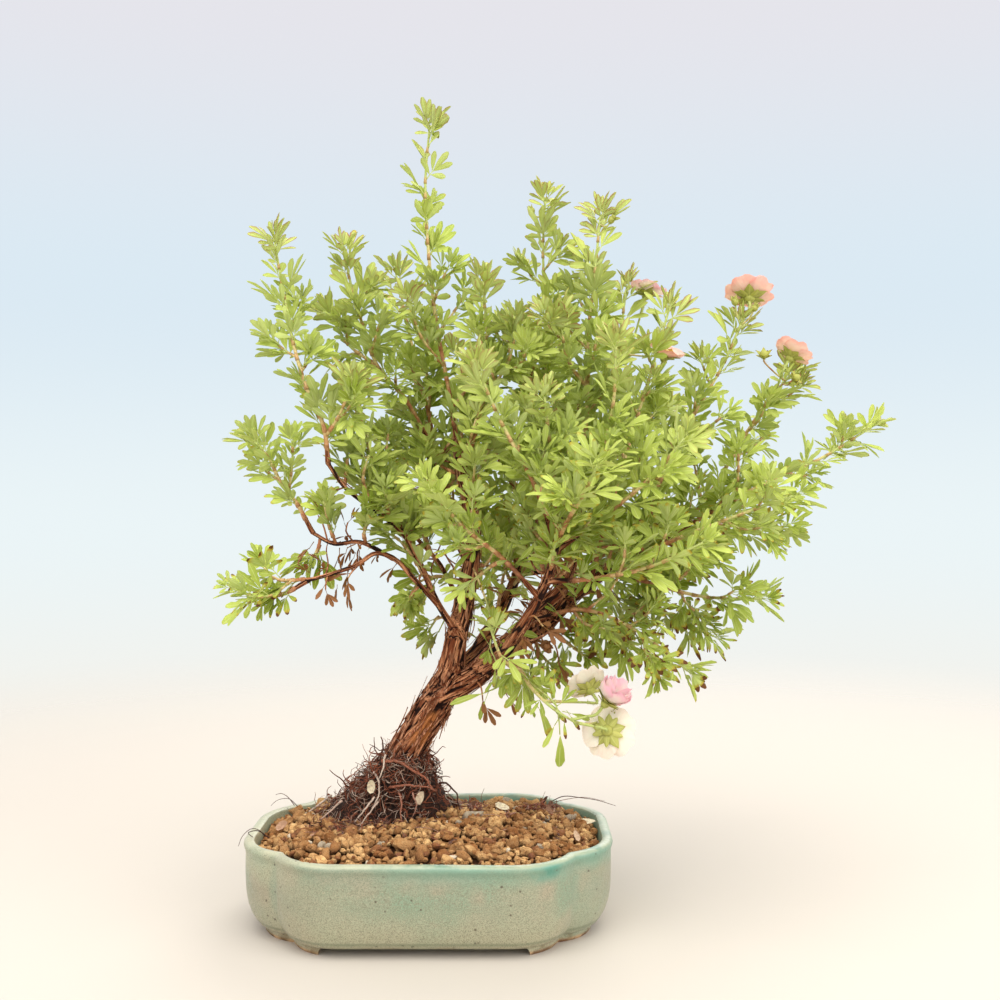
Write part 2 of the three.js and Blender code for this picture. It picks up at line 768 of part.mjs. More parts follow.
// A green stem is straight between its rings.
function stemSteps(stem) {
  return Math.max(2, Math.round((stem.curve.getLength() - stem.from) / STEM_STEP));
}

function makeStem(stem, radius) {
  const radiusAt = (share) => radius + (STEM_TIP_RADIUS - radius) * share;
  return tube(stem.curve, stem.from, stem.curve.getLength(), radiusAt, 4, stemSteps(stem));
}

function pointOnStem(stem, along) {
  const length = stem.curve.getLength();
  const step = (length - stem.from) / stemSteps(stem);
  const knot = Math.min(stemSteps(stem) - 1, Math.floor((along - stem.from) / step));
  const low = stem.from + knot * step;
  const start = stem.curve.getPointAt(low / length);
  const end = stem.curve.getPointAt(Math.min(1, (low + step) / length));
  return start.lerp(end, (along - low) / step);
}

// Leaves along one stem, every pitch, turned by the golden angle, with one on the very tip.
function addLeaves(spray, stem, seed) {
  const draw = seeded(seed);
  const from = stem.from || SIDE_BARE;
  const tip = stem.curve.getLength() - 0.4;
  const count = Math.max(2, Math.round((tip - from) / LEAF_PITCH));
  const places = [tip, tip - TIP_LEAF_GAP];
  for (let index = 1; index < count; index += 1) {
    places.push(from + 3 + ((tip - from - 3) * (index - 0.5)) / count);
  }
  places.forEach((place, index) => {
    for (let attempt = 0; attempt < 14; attempt += 1) {
      const turn = index * 2.4 + seed + attempt * 0.7;
      const lift = index === 0 ? between(draw, 0.95, 1.15) : between(draw, 0.35, 0.95);
      const leaf = leafGeometry(index < 2 || draw() < 0.3 ? 5 : 3, between(draw, 0.9, 1.06), draw);
      leaf.applyMatrix4(leafPlace(stem, place, turn, lift, between(draw, -0.5, 0.5)));
      const solid = toSolid(leaf);
      if (standsClear(spray, solid)) {
        lay(spray, solid, true);
        break;
      }
    }
  });
}

// Petals: five broad blades in one bowl, each with a notch beside the next.
function petalGeometry(bloom) {
  const perPetal = 4;
  const radii = [0.8, 1, 0.97, 0.84];
  const count = 5 * perPetal;
  const rings = [0.45, 1].map((reach) => Array.from({ length: count }, (_, index) => {
    const angle = (index / count) * Math.PI * 2;
    const radius = PETAL_RADIUS * bloom.scale * reach * (reach < 1 ? 1 : radii[index % perPetal]);
    const rise = PETAL_DEPTH * bloom.cup * bloom.scale * reach ** 1.6;
    const spread = radius / Math.sqrt(1 + (bloom.cup * reach * 0.45) ** 2);
    return [spread * Math.cos(angle), spread * Math.sin(angle), rise];
  }));
  const lower = rings[0].map(([x, y, z]) => [x, y, z - PETAL_THICKNESS * 0.8]);
  const points = [...rings[1], ...rings[0], ...lower, [0, 0, 0], [0, 0, -PETAL_THICKNESS]];
  const faces = [];
  for (let index = 0; index < count; index += 1) {
    const next = (index + 1) % count;
    faces.push([index, next, count + next], [index, count + next, count + index]);
    faces.push([count + index, count + next, 3 * count]);
    faces.push([next, index, 2 * count + next], [2 * count + next, index, 2 * count + index]);
    faces.push([2 * count + next, 2 * count + index, 3 * count + 1]);
  }
  return geometryFrom(points, faces);
}

function starGeometry(bloom, z) {
  const outline = Array.from({ length: 10 }, (_, index) => {
    const angle = ((index + 0.5) / 10) * Math.PI * 2;
    const radius = SEPAL_RADIUS * bloom.scale * (index % 2 ? 0.42 : 1);
    return [radius * Math.cos(angle), radius * Math.sin(angle), z + radius * 0.16 * bloom.cup];
  });
  return fanSolid(outline, [0, 0, z], [0, 0, z - 3.2]);
}

function facingMatrix(origin, facing) {
  const turn = new THREE.Quaternion().setFromUnitVectors(new THREE.Vector3(0, 0, 1), facing);
  return new THREE.Matrix4().compose(origin, turn, new THREE.Vector3(1, 1, 1));
}

// A bloom past the end of its shoot: pedicel with calyx, petals, and the dome of stamens.
function makeBloom(name, shootEnd, shootWay) {
  const bloom = BLOOMS[name];
  const facing = new THREE.Vector3(...bloom.facing).normalize();
  const start = shootEnd.clone().addScaledVector(shootWay, CLEARANCE);
  const bend = start.clone().addScaledVector(shootWay, bloom.reach * 0.5);
  const seat = bend.clone().addScaledVector(facing, bloom.reach * 0.5 + 2);
  const stalk = new THREE.QuadraticBezierCurve3(start, bend, seat);
  const pedicel = tube(stalk, 0, stalk.getLength(), () => PEDICEL_RADIUS, 5, 3);
  const place = facingMatrix(seat.clone().addScaledVector(facing, 1.6), facing);
  const calyx = toSolid(starGeometry(bloom, 0).applyMatrix4(place)).add(pedicel);
  const petalFoot = PETAL_THICKNESS + CLEARANCE;
  const petals = toSolid(petalGeometry(bloom).translate(0, 0, petalFoot).applyMatrix4(place));
  const dome = new THREE.SphereGeometry(STAMEN_RADIUS * bloom.scale, 6, 4);
  dome.scale(1, 1, 0.7);
  dome.rotateX(Math.PI / 2);
  dome.translate(0, 0, petalFoot + CLEARANCE + STAMEN_RADIUS * bloom.scale);
  const stamens = toSolid(dome.applyMatrix4(place));
  return { calyx, petals, stamens, look: COLOURS[bloom.colour] };
}

const pot = makePot();
let soil = makeSoil();

for (const limb of Object.values(LIMBS)) {
  limb.curve = curveThrough(limb.route);
}

const limbs = Object.values(LIMBS);
const socket = makeLimb(LIMBS.trunk, 3, CLEARANCE);
const socketFloor = box(40, 40, 2 * CLEARANCE, LIMBS.trunk.route[0][0], LIMBS.trunk.route[0][1], LIMBS.trunk.route[0][2]);
let mound = loft(moundRings(0)).add(wasm.Manifold.union(makeRoots()));
mound = mound.subtract(socket).subtract(socketFloor.intersect(socket));
soil = soil.subtract(loft(moundRings(CLEARANCE)));

const woodParts = limbs.map((limb, index) => makeLimb(limb, 3 + index));
const sprays = [];
for (const shoot of SHOOTS) {
  const parent = LIMBS[shoot.limb];
  const foot = parent.curve.getPointAt(shoot.at).toArray();
  const curve = curveThrough([foot, ...shoot.route]);
  const woody = shoot.at < 1 ? WOODY_LENGTH : WOODY_LENGTH / 2;
  const twigRadius = Math.min(1.6, parent.radii[1]);
  const radiusAt = (share) => twigRadius + (STEM_RADIUS + 0.15 - twigRadius) * share;
  woodParts.push(tube(curve, 0, woody, radiusAt, 4, 1));
  const main = { curve, from: woody + CLEARANCE };
  const stems = [main];
  for (const side of shoot.sides ?? []) {
    const start = pointOnStem(main, side.at * curve.getLength()).toArray();
    stems.push({ curve: curveThrough([start, ...side.route]), from: 0, bloom: side.bloom });
  }
  sprays.push({ name: shoot.name, stems });
}

const wood = wasm.Manifold.union(woodParts);
lay('wood', wood);
lay('pot', pot);
lay('soil', soil);
lay('root_mound', mound);

const blooms = [];
for (const spray of sprays) {
  for (const stem of spray.stems) {
    lay(spray.name, makeStem(stem, stem.from > 0 ? STEM_RADIUS : STEM_RADIUS * 0.85));
    if (stem.bloom) {
      const bloom = makeBloom(stem.bloom, stem.curve.getPointAt(1), stem.curve.getTangentAt(1));
      blooms.push({ name: `flower_${stem.bloom}`, ...bloom });
      lay(`flower_${stem.bloom}_calyx`, bloom.calyx);
      lay(`flower_${stem.bloom}_petals`, bloom.petals);
      lay(`flower_${stem.bloom}_stamens`, bloom.stamens);
    }
  }
}
sprays.forEach((spray, index) => {
  spray.stems.forEach((stem, order) => {
    if (!stem.bloom) {
      addLeaves(spray.name, stem, 100 + index * 7 + order);
    }
  });
});

addNode('pot', pot, COLOURS.glaze);
addNode('drain_screen_left', makeScreen(-DRAIN_SPACING / 2), COLOURS.screen);
addNode('drain_screen_right', makeScreen(DRAIN_SPACING / 2), COLOURS.screen);
addNode('soil', soil, COLOURS.soil);
addNode('root_mound', mound, COLOURS.roots);
addNode('wood', wood, COLOURS.bark);
for (const spray of sprays) {
  const parts = laid.filter((item) => item.node === spray.name).map((item) => item.solid);
  addNode(spray.name, wasm.Manifold.union(parts), COLOURS.leaf);
}
for (const bloom of blooms) {
  addNode(`${bloom.name}_petals`, bloom.petals, bloom.look);
  addNode(`${bloom.name}_calyx`, bloom.calyx, COLOURS.calyx);
  addNode(`${bloom.name}_stamens`, bloom.stamens, COLOURS.stamen);
}

// The middle of the whole footprint goes to the origin.
const extent = new THREE.Box3().setFromObject(bonsai);
bonsai.position.set(-(extent.min.x + extent.max.x) / 2, -(extent.min.y + extent.max.y) / 2, -extent.min.z);

export default bonsai;
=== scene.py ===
import bisect
import math
import random
from collections import namedtuple

import bmesh
import bpy
from mathutils import Matrix, Vector, noise
from mathutils.kdtree import KDTree


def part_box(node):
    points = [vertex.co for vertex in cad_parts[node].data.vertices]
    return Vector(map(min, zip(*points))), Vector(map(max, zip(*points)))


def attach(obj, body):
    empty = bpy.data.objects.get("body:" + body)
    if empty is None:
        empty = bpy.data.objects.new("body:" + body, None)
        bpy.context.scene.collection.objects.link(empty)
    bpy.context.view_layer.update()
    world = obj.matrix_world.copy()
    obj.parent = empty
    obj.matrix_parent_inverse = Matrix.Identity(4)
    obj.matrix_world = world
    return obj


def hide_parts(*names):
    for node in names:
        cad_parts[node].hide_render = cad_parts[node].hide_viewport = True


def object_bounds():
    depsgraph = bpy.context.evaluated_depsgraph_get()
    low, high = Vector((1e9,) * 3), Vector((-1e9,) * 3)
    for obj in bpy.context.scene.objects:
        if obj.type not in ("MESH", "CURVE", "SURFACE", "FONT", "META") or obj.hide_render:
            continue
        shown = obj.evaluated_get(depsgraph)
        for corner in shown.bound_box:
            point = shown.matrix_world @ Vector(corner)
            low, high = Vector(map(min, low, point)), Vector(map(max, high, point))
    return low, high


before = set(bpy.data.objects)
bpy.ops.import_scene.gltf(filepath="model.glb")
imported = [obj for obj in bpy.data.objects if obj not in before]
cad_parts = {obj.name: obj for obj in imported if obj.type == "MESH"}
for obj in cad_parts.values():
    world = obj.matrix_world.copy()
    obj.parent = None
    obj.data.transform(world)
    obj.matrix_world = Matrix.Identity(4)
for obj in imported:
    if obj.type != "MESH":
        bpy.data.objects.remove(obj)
cad_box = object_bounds()

# Photo corner: a plain pale floor that fades out into a pale, softly lit room.
# The camera stands level with the lower leaves, a little to the right of the pot.
MM = 0.001
pot_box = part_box("pot")
pot_foot = Vector((
    (pot_box[0][0] + pot_box[1][0]) / 2,
    (pot_box[0][1] + pot_box[1][1]) / 2,
    pot_box[0][2],
))
FLOOR_RADIUS = 1.1
FLOOR_FADE = (0.30, 1.0)
CAMERA_AT = (33, -570, 202)
CAMERA_TILT = -0.48
SENSOR = 36
FOCAL = SENSOR * 1.2


def from_pot(point):
    """A place in millimetres from the middle of the pot's base, put in the frame."""
    return pot_foot + Vector(point) * MM


def feed(socket, value):
    """Gives a socket a number, a colour or another node's output."""
    if isinstance(value, bpy.types.NodeSocket):
        value.id_data.links.new(value, socket)
    else:
        socket.default_value = (*value, 1) if socket.type == "RGBA" else value


def put(tree, kind, settings=None, **sockets):
    """Adds a shader node and feeds its sockets."""
    node = tree.nodes.new("ShaderNode" + kind)
    for name, value in (settings or {}).items():
        setattr(node, name, value)
    for name, value in sockets.items():
        feed(node.inputs[name.replace("_", " ")], value)
    return node


def beside(values, kind, settings):
    """Adds a node to the tree that one of the values comes from."""
    given = [value for value in values if isinstance(value, bpy.types.NodeSocket)]
    return put(given[0].id_data, kind, settings)


def sums(operation, *values, kind="Math"):
    """A sum of one or two values, or of vectors."""
    node = beside(values, kind, {"operation": operation})
    for socket, value in zip(node.inputs, values):
        feed(socket, value)
    return node.outputs["Value" if operation in ("LENGTH", "DISTANCE") else 0]


def times(*values):
    return sums("MULTIPLY", *values)


def plus(*values):
    return sums("ADD", *values)


def tint(share, low, high, amount=1):
    """The colour that is share of the way from low to high."""
    node = beside((share, low, high), "Mix", {"data_type": "RGBA"})
    if amount != 1:
        share = times(share, amount)
    for index, value in ((0, share), (6, low), (7, high)):
        feed(node.inputs[index], value)
    return node.outputs[2]


def spot_in(tree):
    """Where each point of a surface lies."""
    return put(tree, "TexCoord").outputs["Object"]


def marks_of(tree, name):
    """The three values of a mark that the mesh carries."""
    mark = put(tree, "Attribute", {"attribute_name": name}).outputs["Color"]
    return put(tree, "SeparateColor", Color=mark).outputs


def grade(value, low, high):
    """Turns a value that runs from low to high into one from 0 to 1."""
    return put(value.id_data, "MapRange", {"interpolation_type": "SMOOTHSTEP"},
               Value=value, From_Min=low, From_Max=high).outputs[0]


def new_finish(name, roughness):
    """A material with one shader; the maker fills in its colour."""
    material = bpy.data.materials.new(name)
    material.use_nodes = True
    tree = material.node_tree
    shader = tree.nodes["Principled BSDF"]
    shader.inputs["Roughness"].default_value = roughness
    return material, tree, shader


def link(output, shader, socket):
    shader.id_data.links.new(output, shader.inputs[socket])


def relief(shader, height, depth, strength=1.0):
    """Raises the surface by a height from 0 to 1 times depth."""
    bump = put(height.id_data, "Bump", Height=height, Distance=depth, Strength=strength)
    link(bump.outputs[0], shader, "Normal")


def keep_mesh(bm, name):
    mesh = bpy.data.meshes.new(name)
    bm.to_mesh(mesh)
    bm.free()
    return mesh


def stand_in_scene(name, mesh):
    piece = bpy.data.objects.new(name, mesh)
    bpy.context.collection.objects.link(piece)
    return piece


floor_bm = bmesh.new()
bmesh.ops.create_circle(floor_bm, cap_ends=True, segments=96, radius=FLOOR_RADIUS)
floor_mesh = keep_mesh(floor_bm, "photo_floor")
floor = stand_in_scene("photo_floor", floor_mesh)
floor_finish, tree, shader = new_finish("pale_floor", 0.9)
shader.inputs["Base Color"].default_value = (0.57, 0.52, 0.45, 1)
shader.inputs["Specular IOR Level"].default_value = 0.1
spot = spot_in(tree)
reach = sums("LENGTH", spot, kind="VectorMath")
link(grade(reach, FLOOR_FADE[1], FLOOR_FADE[0]), shader, "Alpha")
floor_mesh.materials.append(floor_finish)

room = bpy.data.worlds.new("pale_room")
bpy.context.scene.world = room
room.use_nodes = True
tree = room.node_tree
way = put(tree, "TexCoord").outputs["Generated"]
rise = put(tree, "SeparateXYZ", Vector=way).outputs["Z"]
lower = tint(grade(rise, -0.24, -0.02), (0.93, 0.89, 0.81), (0.83, 0.91, 0.93))
upper = tint(grade(rise, -0.04, 0.16), lower, (0.71, 0.82, 0.90))
top = tint(grade(rise, 0.16, 0.40), upper, (0.79, 0.78, 0.83))
backdrop = tree.nodes["Background"]
tree.links.new(top, backdrop.inputs["Color"])
backdrop.inputs["Strength"].default_value = 1.0

camera_data = bpy.data.cameras.new("camera")
camera_data.sensor_width = SENSOR
camera_data.lens = FOCAL
camera = bpy.data.objects.new("camera", camera_data)
camera.location = from_pot(CAMERA_AT)
camera.rotation_euler = (math.radians(90 + CAMERA_TILT), 0, 0)
bpy.context.collection.objects.link(camera)
bpy.context.scene.camera = camera
bpy.context.scene.view_settings.view_transform = "Standard"


def soft_light(name, at, aim, width, power, colour):
    lamp = bpy.data.lights.new(name, "AREA")
    lamp.shape = "DISK"
    lamp.size = width
    lamp.energy = power
    lamp.color = colour
    stand = bpy.data.objects.new(name, lamp)
    stand.location = at
    stand.rotation_euler = (Vector(aim) - Vector(at)).to_track_quat("-Z", "Y").to_euler()
    bpy.context.collection.objects.link(stand)


soft_light("key_light", (-0.55, -1.1, 1.5), (0, 0, 0.15), 2.1, 26, (1.0, 0.98, 0.95))
soft_light("fill_light", (1.2, -0.9, 0.8), (0, 0, 0.2), 1.5, 15, (1.0, 0.99, 0.97))
soft_light("back_light", (0.4, 1.3, 1.1), (0, 0, 0.25), 1.4, 14, (1.0, 1.0, 0.98))
soft_light("top_light", (0.1, -0.35, 1.9), (0, 0, 0.1), 1.6, 15, (1.0, 0.99, 0.96))

# Pot: pressed stoneware under a thick sage glaze, fired once. The corners are two round
# lobes that meet in a groove, and it stands on four low bracket feet wiped bare of glaze.
POT_HALF = (85, 62.5)
LOBE_RADIUS = 32
GROOVE_DEPTH = 18.5
LOBE_STEPS = 14
SIDE_STEPS = 10
# Height, and how far the wall stands in from the widest outline.
POT_WALL = [
    (3.6, 11.6), (3.6, 9.2), (4.2, 7.7), (5.2, 6.4), (7, 5), (10, 3.3), (14, 1.9), (19, 1),
    (28, 0.65), (36, 0.75), (38, 0.6), (39, 0.1), (40, -0.1), (41, 0.1), (41.7, 0.7), (42, 1.5),
    (42.1, 2.6), (42, 3.7), (41.5, 4.6), (40, 5.1), (36, 5.6), (24, 6.6), (14, 7.9),
    (10.5, 9.2), (8.6, 11.4), (8, 14),
]
FOOT_BAND = [(0, 10.4), (1.2, 9.5), (6, 9.0)]
FOOT_INNER = 21
FOOT_GAPS = ((92, 130), (180, 44))
DRAIN_AT = 38
DRAIN_RADIUS = 7
POT_WARP = 0.5


def pot_outline(z, inset):
    """The pot's outline at one height, anticlockwise from the middle of its right end."""
    half_length, half_depth = POT_HALF
    reach = GROOVE_DEPTH + math.sqrt(2 * GROOVE_DEPTH * LOBE_RADIUS - GROOVE_DEPTH ** 2)
    radius = LOBE_RADIUS - inset
    total = reach + LOBE_RADIUS
    inner = 2 * (reach ** 2 + LOBE_RADIUS ** 2 - radius ** 2)
    groove = (total - math.sqrt(total ** 2 - inner)) / 2
    sweep = math.acos(min(1, (LOBE_RADIUS - groove) / radius))
    corner = [(half_length - inset, (half_depth - reach) * (step / SIDE_STEPS))
              for step in range(SIDE_STEPS)]
    for step in range(LOBE_STEPS + 1):
        angle = sweep * step / LOBE_STEPS
        corner.append((half_length - LOBE_RADIUS + radius * math.cos(angle),
                       half_depth - reach + radius * math.sin(angle)))
    for step in range(LOBE_STEPS - 1, -1, -1):
        angle = math.pi / 2 - sweep * step / LOBE_STEPS
        corner.append((half_length - reach + radius * math.cos(angle),
                       half_depth - LOBE_RADIUS + radius * math.sin(angle)))
    corner += [((half_length - reach) * (1 - step / SIDE_STEPS), half_depth - inset)
               for step in range(1, SIDE_STEPS)]
    middle = [(0, half_depth - inset)]
    back = [(-x, y) for x, y in reversed(corner)]
    half = corner + middle + back[:-1]
    ring = half + [(-x, -y) for x, y in half]
    return [Vector((x, y, z)) for x, y in ring]


def skin_rings(bm, rings, foot=True, head=True):
    """Draws the first ring, pulls its edges out through each ring after it, and caps the ends."""
    verts = [bm.verts.new(point) for point in rings[0]]
    edges = [bm.edges.new((verts[index - 1], verts[index])) for index in range(len(verts))]
    if foot:
        bm.faces.new(verts[::-1])
    for ring in rings[1:]:
        pulled = bmesh.ops.extrude_edge_only(bm, edges=edges)["geom"]
        fresh = [item for item in pulled if isinstance(item, bmesh.types.BMVert)]
        place = {vert: index for index, vert in enumerate(verts)}
        lifted = [None] * len(verts)
        for vert in fresh:
            for edge in vert.link_edges:
                index = place.get(edge.other_vert(vert))
                if index is not None:
                    lifted[index] = vert
        for vert, point in zip(lifted, ring):
            vert.co = point
        verts = lifted
        edges = [bm.edges.get((verts[index - 1], verts[index])) for index in range(len(verts))]
    if head:
        bm.faces.new(verts)
    return verts


def to_mesh(bm, name, smooth=True, recalc=True):
    """Turns a finished bmesh in millimetres from the pot's foot into a mesh in the frame."""
    if recalc:
        bmesh.ops.recalc_face_normals(bm, faces=bm.faces)
    bmesh.ops.scale(bm, vec=(MM, MM, MM), verts=bm.verts)
    bmesh.ops.translate(bm, vec=pot_foot, verts=bm.verts)
    for face in bm.faces:
        face.smooth = smooth
    return keep_mesh(bm, name)


def solid_from_rings(name, rings):
    bm = bmesh.new()
    skin_rings(bm, rings)
    return stand_in_scene(name, to_mesh(bm, name))


def cut_with(piece, tool, operation):
    carve = piece.modifiers.new(tool.name, "BOOLEAN")
    carve.operation = operation
    carve.solver = "EXACT"
    carve.object = tool


def settle(piece, *tools):
    """Makes the piece's modifiers part of its mesh and takes the tools away."""
    shape = bpy.context.evaluated_depsgraph_get()
    mesh = bpy.data.meshes.new_from_object(piece.evaluated_get(shape))
    piece.modifiers.clear()
    piece.data = mesh
    for tool in tools:
        bpy.data.objects.remove(tool)
    return mesh


def warped(ring, height):
    """A slight hand-made waver that grows toward the rim."""
    moved = []
    for point in ring:
        waver = noise.noise(Vector((point.x / 60, point.y / 60, 3.7)))
        lift = POT_WARP * waver * (height / 42) ** 2
        moved.append(Vector((point.x, point.y, point.z + lift)))
    return moved


wall = solid_from_rings("pot_wall", [warped(pot_outline(z, inset), z) for z, inset in POT_WALL])
foot_ring = solid_from_rings("foot_ring", [pot_outline(z, inset) for z, inset in FOOT_BAND])
foot_core = solid_from_rings("foot_core", [pot_outline(z, FOOT_INNER) for z in (-1, 8)])
tools = [foot_core]
cut_with(foot_ring, foot_core, "DIFFERENCE")
for length, depth in FOOT_GAPS:
    gap_bm = bmesh.new()
    bmesh.ops.create_cube(gap_bm, size=1)
    bmesh.ops.scale(gap_bm, vec=(length, depth, 8), verts=gap_bm.verts)
    upper_edges = [edge for edge in gap_bm.edges if all(vert.co.z > 0 for vert in edge.verts)]
    bmesh.ops.bevel(gap_bm, geom=upper_edges, offset=3.2, segments=5, profile=0.5,
                    affect="EDGES", material=-1)
    gap = stand_in_scene("foot_gap", to_mesh(gap_bm, "foot_gap"))
    cut_with(foot_ring, gap, "DIFFERENCE")
    tools.append(gap)
settle(foot_ring, *tools)
drains_bm = bmesh.new()
for side in (-1, 1):
    bmesh.ops.create_cone(drains_bm, cap_ends=True, segments=32, radius1=DRAIN_RADIUS,
                          radius2=DRAIN_RADIUS, depth=30,
                          matrix=Matrix.Translation((side * DRAIN_AT, 0, 0)))
drains = stand_in_scene("drains", to_mesh(drains_bm, "drains"))
cut_with(wall, foot_ring, "UNION")
cut_with(wall, drains, "DIFFERENCE")
pot_mesh = settle(wall, foot_ring, drains)
pot_mesh.set_sharp_from_angle(angle=math.radians(38))
wall.name = "pot_glazed"
pot_mesh.name = "pot_glazed"


def mottle_group():
    """A patchy mask over the surface: Scale in patches a metre, Low and High set its contrast."""
    group = bpy.data.node_groups.new("mottle", "ShaderNodeTree")
    for name in ("Scale", "Detail", "Low", "High"):
        group.interface.new_socket(name, in_out="INPUT", socket_type="NodeSocketFloat")
    group.interface.new_socket("Vector", in_out="INPUT", socket_type="NodeSocketVector")
    group.interface.new_socket("Mask", in_out="OUTPUT", socket_type="NodeSocketFloat")
    start = group.nodes.new("NodeGroupInput").outputs
    end = group.nodes.new("NodeGroupOutput").inputs
    cloud = put(group, "TexNoise", Vector=start["Vector"], Scale=start["Scale"], Detail=start["Detail"])
    mask = grade(cloud.outputs[0], start["Low"], start["High"])
    group.links.new(mask, end["Mask"])
    return group


MOTTLE = mottle_group()


def mottle(vector, scale, low, high, detail=3):
    node = vector.id_data.nodes.new("ShaderNodeGroup")
    node.node_tree = MOTTLE
    for name, value in zip(("Scale", "Low", "High", "Detail", "Vector"),
                           (scale, low, high, detail, vector)):
        feed(node.inputs[name], value)
    return node.outputs["Mask"]


def sRGB(red, green, blue):
    """A colour as the eye reads it, 0 to 255, in the linear values that shaders take."""
    return tuple(((value / 255 + 0.055) / 1.055) ** 2.4 if value > 10 else value / 3295
                 for value in (red, green, blue))


GROOVE_AT = (66.5, 44.0)
THICK_RUN = (0.0575, -0.0625, 0.0385)
glaze, tree, shader = new_finish("sage_glaze", 0.3)
spot = spot_in(tree)
local = sums("SUBTRACT", spot, pot_foot, kind="VectorMath")
spot_axes = put(tree, "SeparateXYZ", Vector=local)
height = spot_axes.outputs["Z"]
corner_x = sums("SUBTRACT", sums("ABSOLUTE", spot_axes.outputs["X"]), GROOVE_AT[0] * MM)
corner_y = sums("SUBTRACT", sums("ABSOLUTE", spot_axes.outputs["Y"]), GROOVE_AT[1] * MM)
from_groove = sums("SQRT", plus(times(corner_x, corner_x), times(corner_y, corner_y)))
sage = tint(mottle(spot, 22, 0.4, 0.6), sRGB(153, 154, 127), sRGB(132, 152, 125))
blush = mottle(spot, 34, 0.46, 0.62)
body = tint(blush, sage, sRGB(172, 150, 126), 0.6)
low_light = times(grade(height, 0.026, 0.004), 0.55)
body = tint(low_light, body, sRGB(200, 192, 158))
pale_end = times(grade(spot_axes.outputs["X"], -0.045, -0.075), grade(height, 0.024, 0.036))
body = tint(pale_end, body, sRGB(206, 196, 160), 0.5)
fine = times(mottle(spot, 2300, 0.44, 0.64, 2), 0.85)
grainy = tint(fine, body, sRGB(124, 122, 98))
grainy = tint(mottle(spot, 2100, 0.58, 0.7, 2), grainy, sRGB(196, 178, 150), 0.5)
near_groove = grade(from_groove, 0.0045, 0.0008)
pooled = times(near_groove, 0.22)
runs = mottle(spot, 16, 0.56, 0.72)
pooled = sums("MAXIMUM", pooled, times(runs, 0.35))
to_right = grade(spot_axes.outputs["X"], -0.075, 0.05)
under_rim = times(grade(height, 0.030, 0.0405),
                 plus(times(mottle(spot, 30, 0.3, 0.7), 0.5),
                      times(to_right, 0.55)))
pooled = sums("MAXIMUM", pooled, times(under_rim, 0.85))
coloured = tint(pooled, grainy, sRGB(112, 152, 130))
near_run = plus(sums("DISTANCE", local, THICK_RUN, kind="VectorMath"),
                times(mottle(spot, 160, 0.3, 0.7), 0.006))
deep = times(grade(near_run, 0.017, 0.006), grade(height, 0.032, 0.038))
coloured = tint(deep, coloured, sRGB(76, 138, 118), 0.85)
thin_edge = times(grade(height, 0.0404, 0.0418), mottle(spot, 90, 0.3, 0.55))
coloured = tint(thin_edge, coloured, sRGB(196, 193, 160), 0.55)
iron = put(tree, "TexVoronoi", {"feature": "F1"}, Vector=spot, Scale=260)
sparse = put(tree, "SeparateXYZ", Vector=iron.outputs["Color"]).outputs["X"]
fleck = times(grade(iron.outputs["Distance"], 0.2, 0.08), grade(sparse, 0.80, 0.84))
coloured = tint(fleck, coloured, sRGB(70, 52, 36), 0.8)
bare = grade(height, 0.0026, 0.0009)
coloured = tint(bare, coloured, tint(mottle(spot, 200, 0.4, 0.6), sRGB(196, 160, 118), sRGB(120, 82, 52)))
low_stain = times(grade(height, 0.0062, 0.0035), mottle(spot, 120, 0.45, 0.6))
coloured = tint(low_stain, coloured, sRGB(120, 100, 66), 0.55)
moss = times(grade(height, 0.012, 0.006), mottle(spot, 420, 0.66, 0.72))
coloured = tint(moss, coloured, sRGB(66, 62, 38), 0.8)
# Painted shade: a darker band low on the wall, just above the foot band, stands for the shade under the
# ledge.
ledge_shade = times(grade(height, 0.0058, 0.0066), grade(height, 0.0082, 0.0072))
coloured = tint(ledge_shade, coloured, sRGB(104, 116, 88), 0.5)
link(coloured, shader, "Base Color")
dull = tint(mottle(spot, 700, 0.4, 0.7), (0.34, 0.34, 0.34), (0.5, 0.5, 0.5))
link(tint(bare, dull, (0.9, 0.9, 0.9)), shader, "Roughness")
relief(shader, mottle(spot, 420, 0.2, 0.8, 4), 0.0004, 0.35)
shader.inputs["Coat Weight"].default_value = 0.12
shader.inputs["Coat Roughness"].default_value = 0.25
pot_mesh.materials.clear()
pot_mesh.materials.append(glaze)
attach(wall, "root")
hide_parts("pot")

# Drain screens: squares of woven plastic mesh laid over the two holes before the soil goes in.
# The strands run over and under each other and the edges are cut plain.
STRANDS = 8
SCREEN_HALF = 11
STRAND_RADIUS = 0.42
SCREEN_HEIGHT = 8.85

screen_finish, tree, shader = new_finish("black_plastic", 0.5)
spot = spot_in(tree)
link(tint(mottle(spot, 900, 0.3, 0.7), (0.018, 0.02, 0.019), (0.05, 0.05, 0.046)), shader, "Base Color")
relief(shader, mottle(spot, 2500, 0.3, 0.7), 0.0001, 0.4)


def tube_rings(points, radii, sides):
    """Rings square to a path, carried along it without twisting."""
    rings = []
    across = None
    for index, point in enumerate(points):
        ahead = points[min(index + 1, len(points) - 1)] - points[max(index - 1, 0)]
        ahead.normalize()
        if across is None:
            across = ahead.orthogonal()
        across = (across - ahead * across.dot(ahead)).normalized()
        upward = ahead.cross(across)
        ring = []
        for side in range(sides):
            angle = math.tau * side / sides
            ring.append(point + (across * math.cos(angle) + upward * math.sin(angle)) * radii[index])
        rings.append(ring)
    return rings


def tube_mesh(points, radii, sides, material=0):
    """A closed tube along a path, as a small mesh of its own."""
    bm = bmesh.new()
    skin_rings(bm, tube_rings(points, radii, sides))
    for face in bm.faces:
        face.material_index = material
    return keep_mesh(bm, "tube")


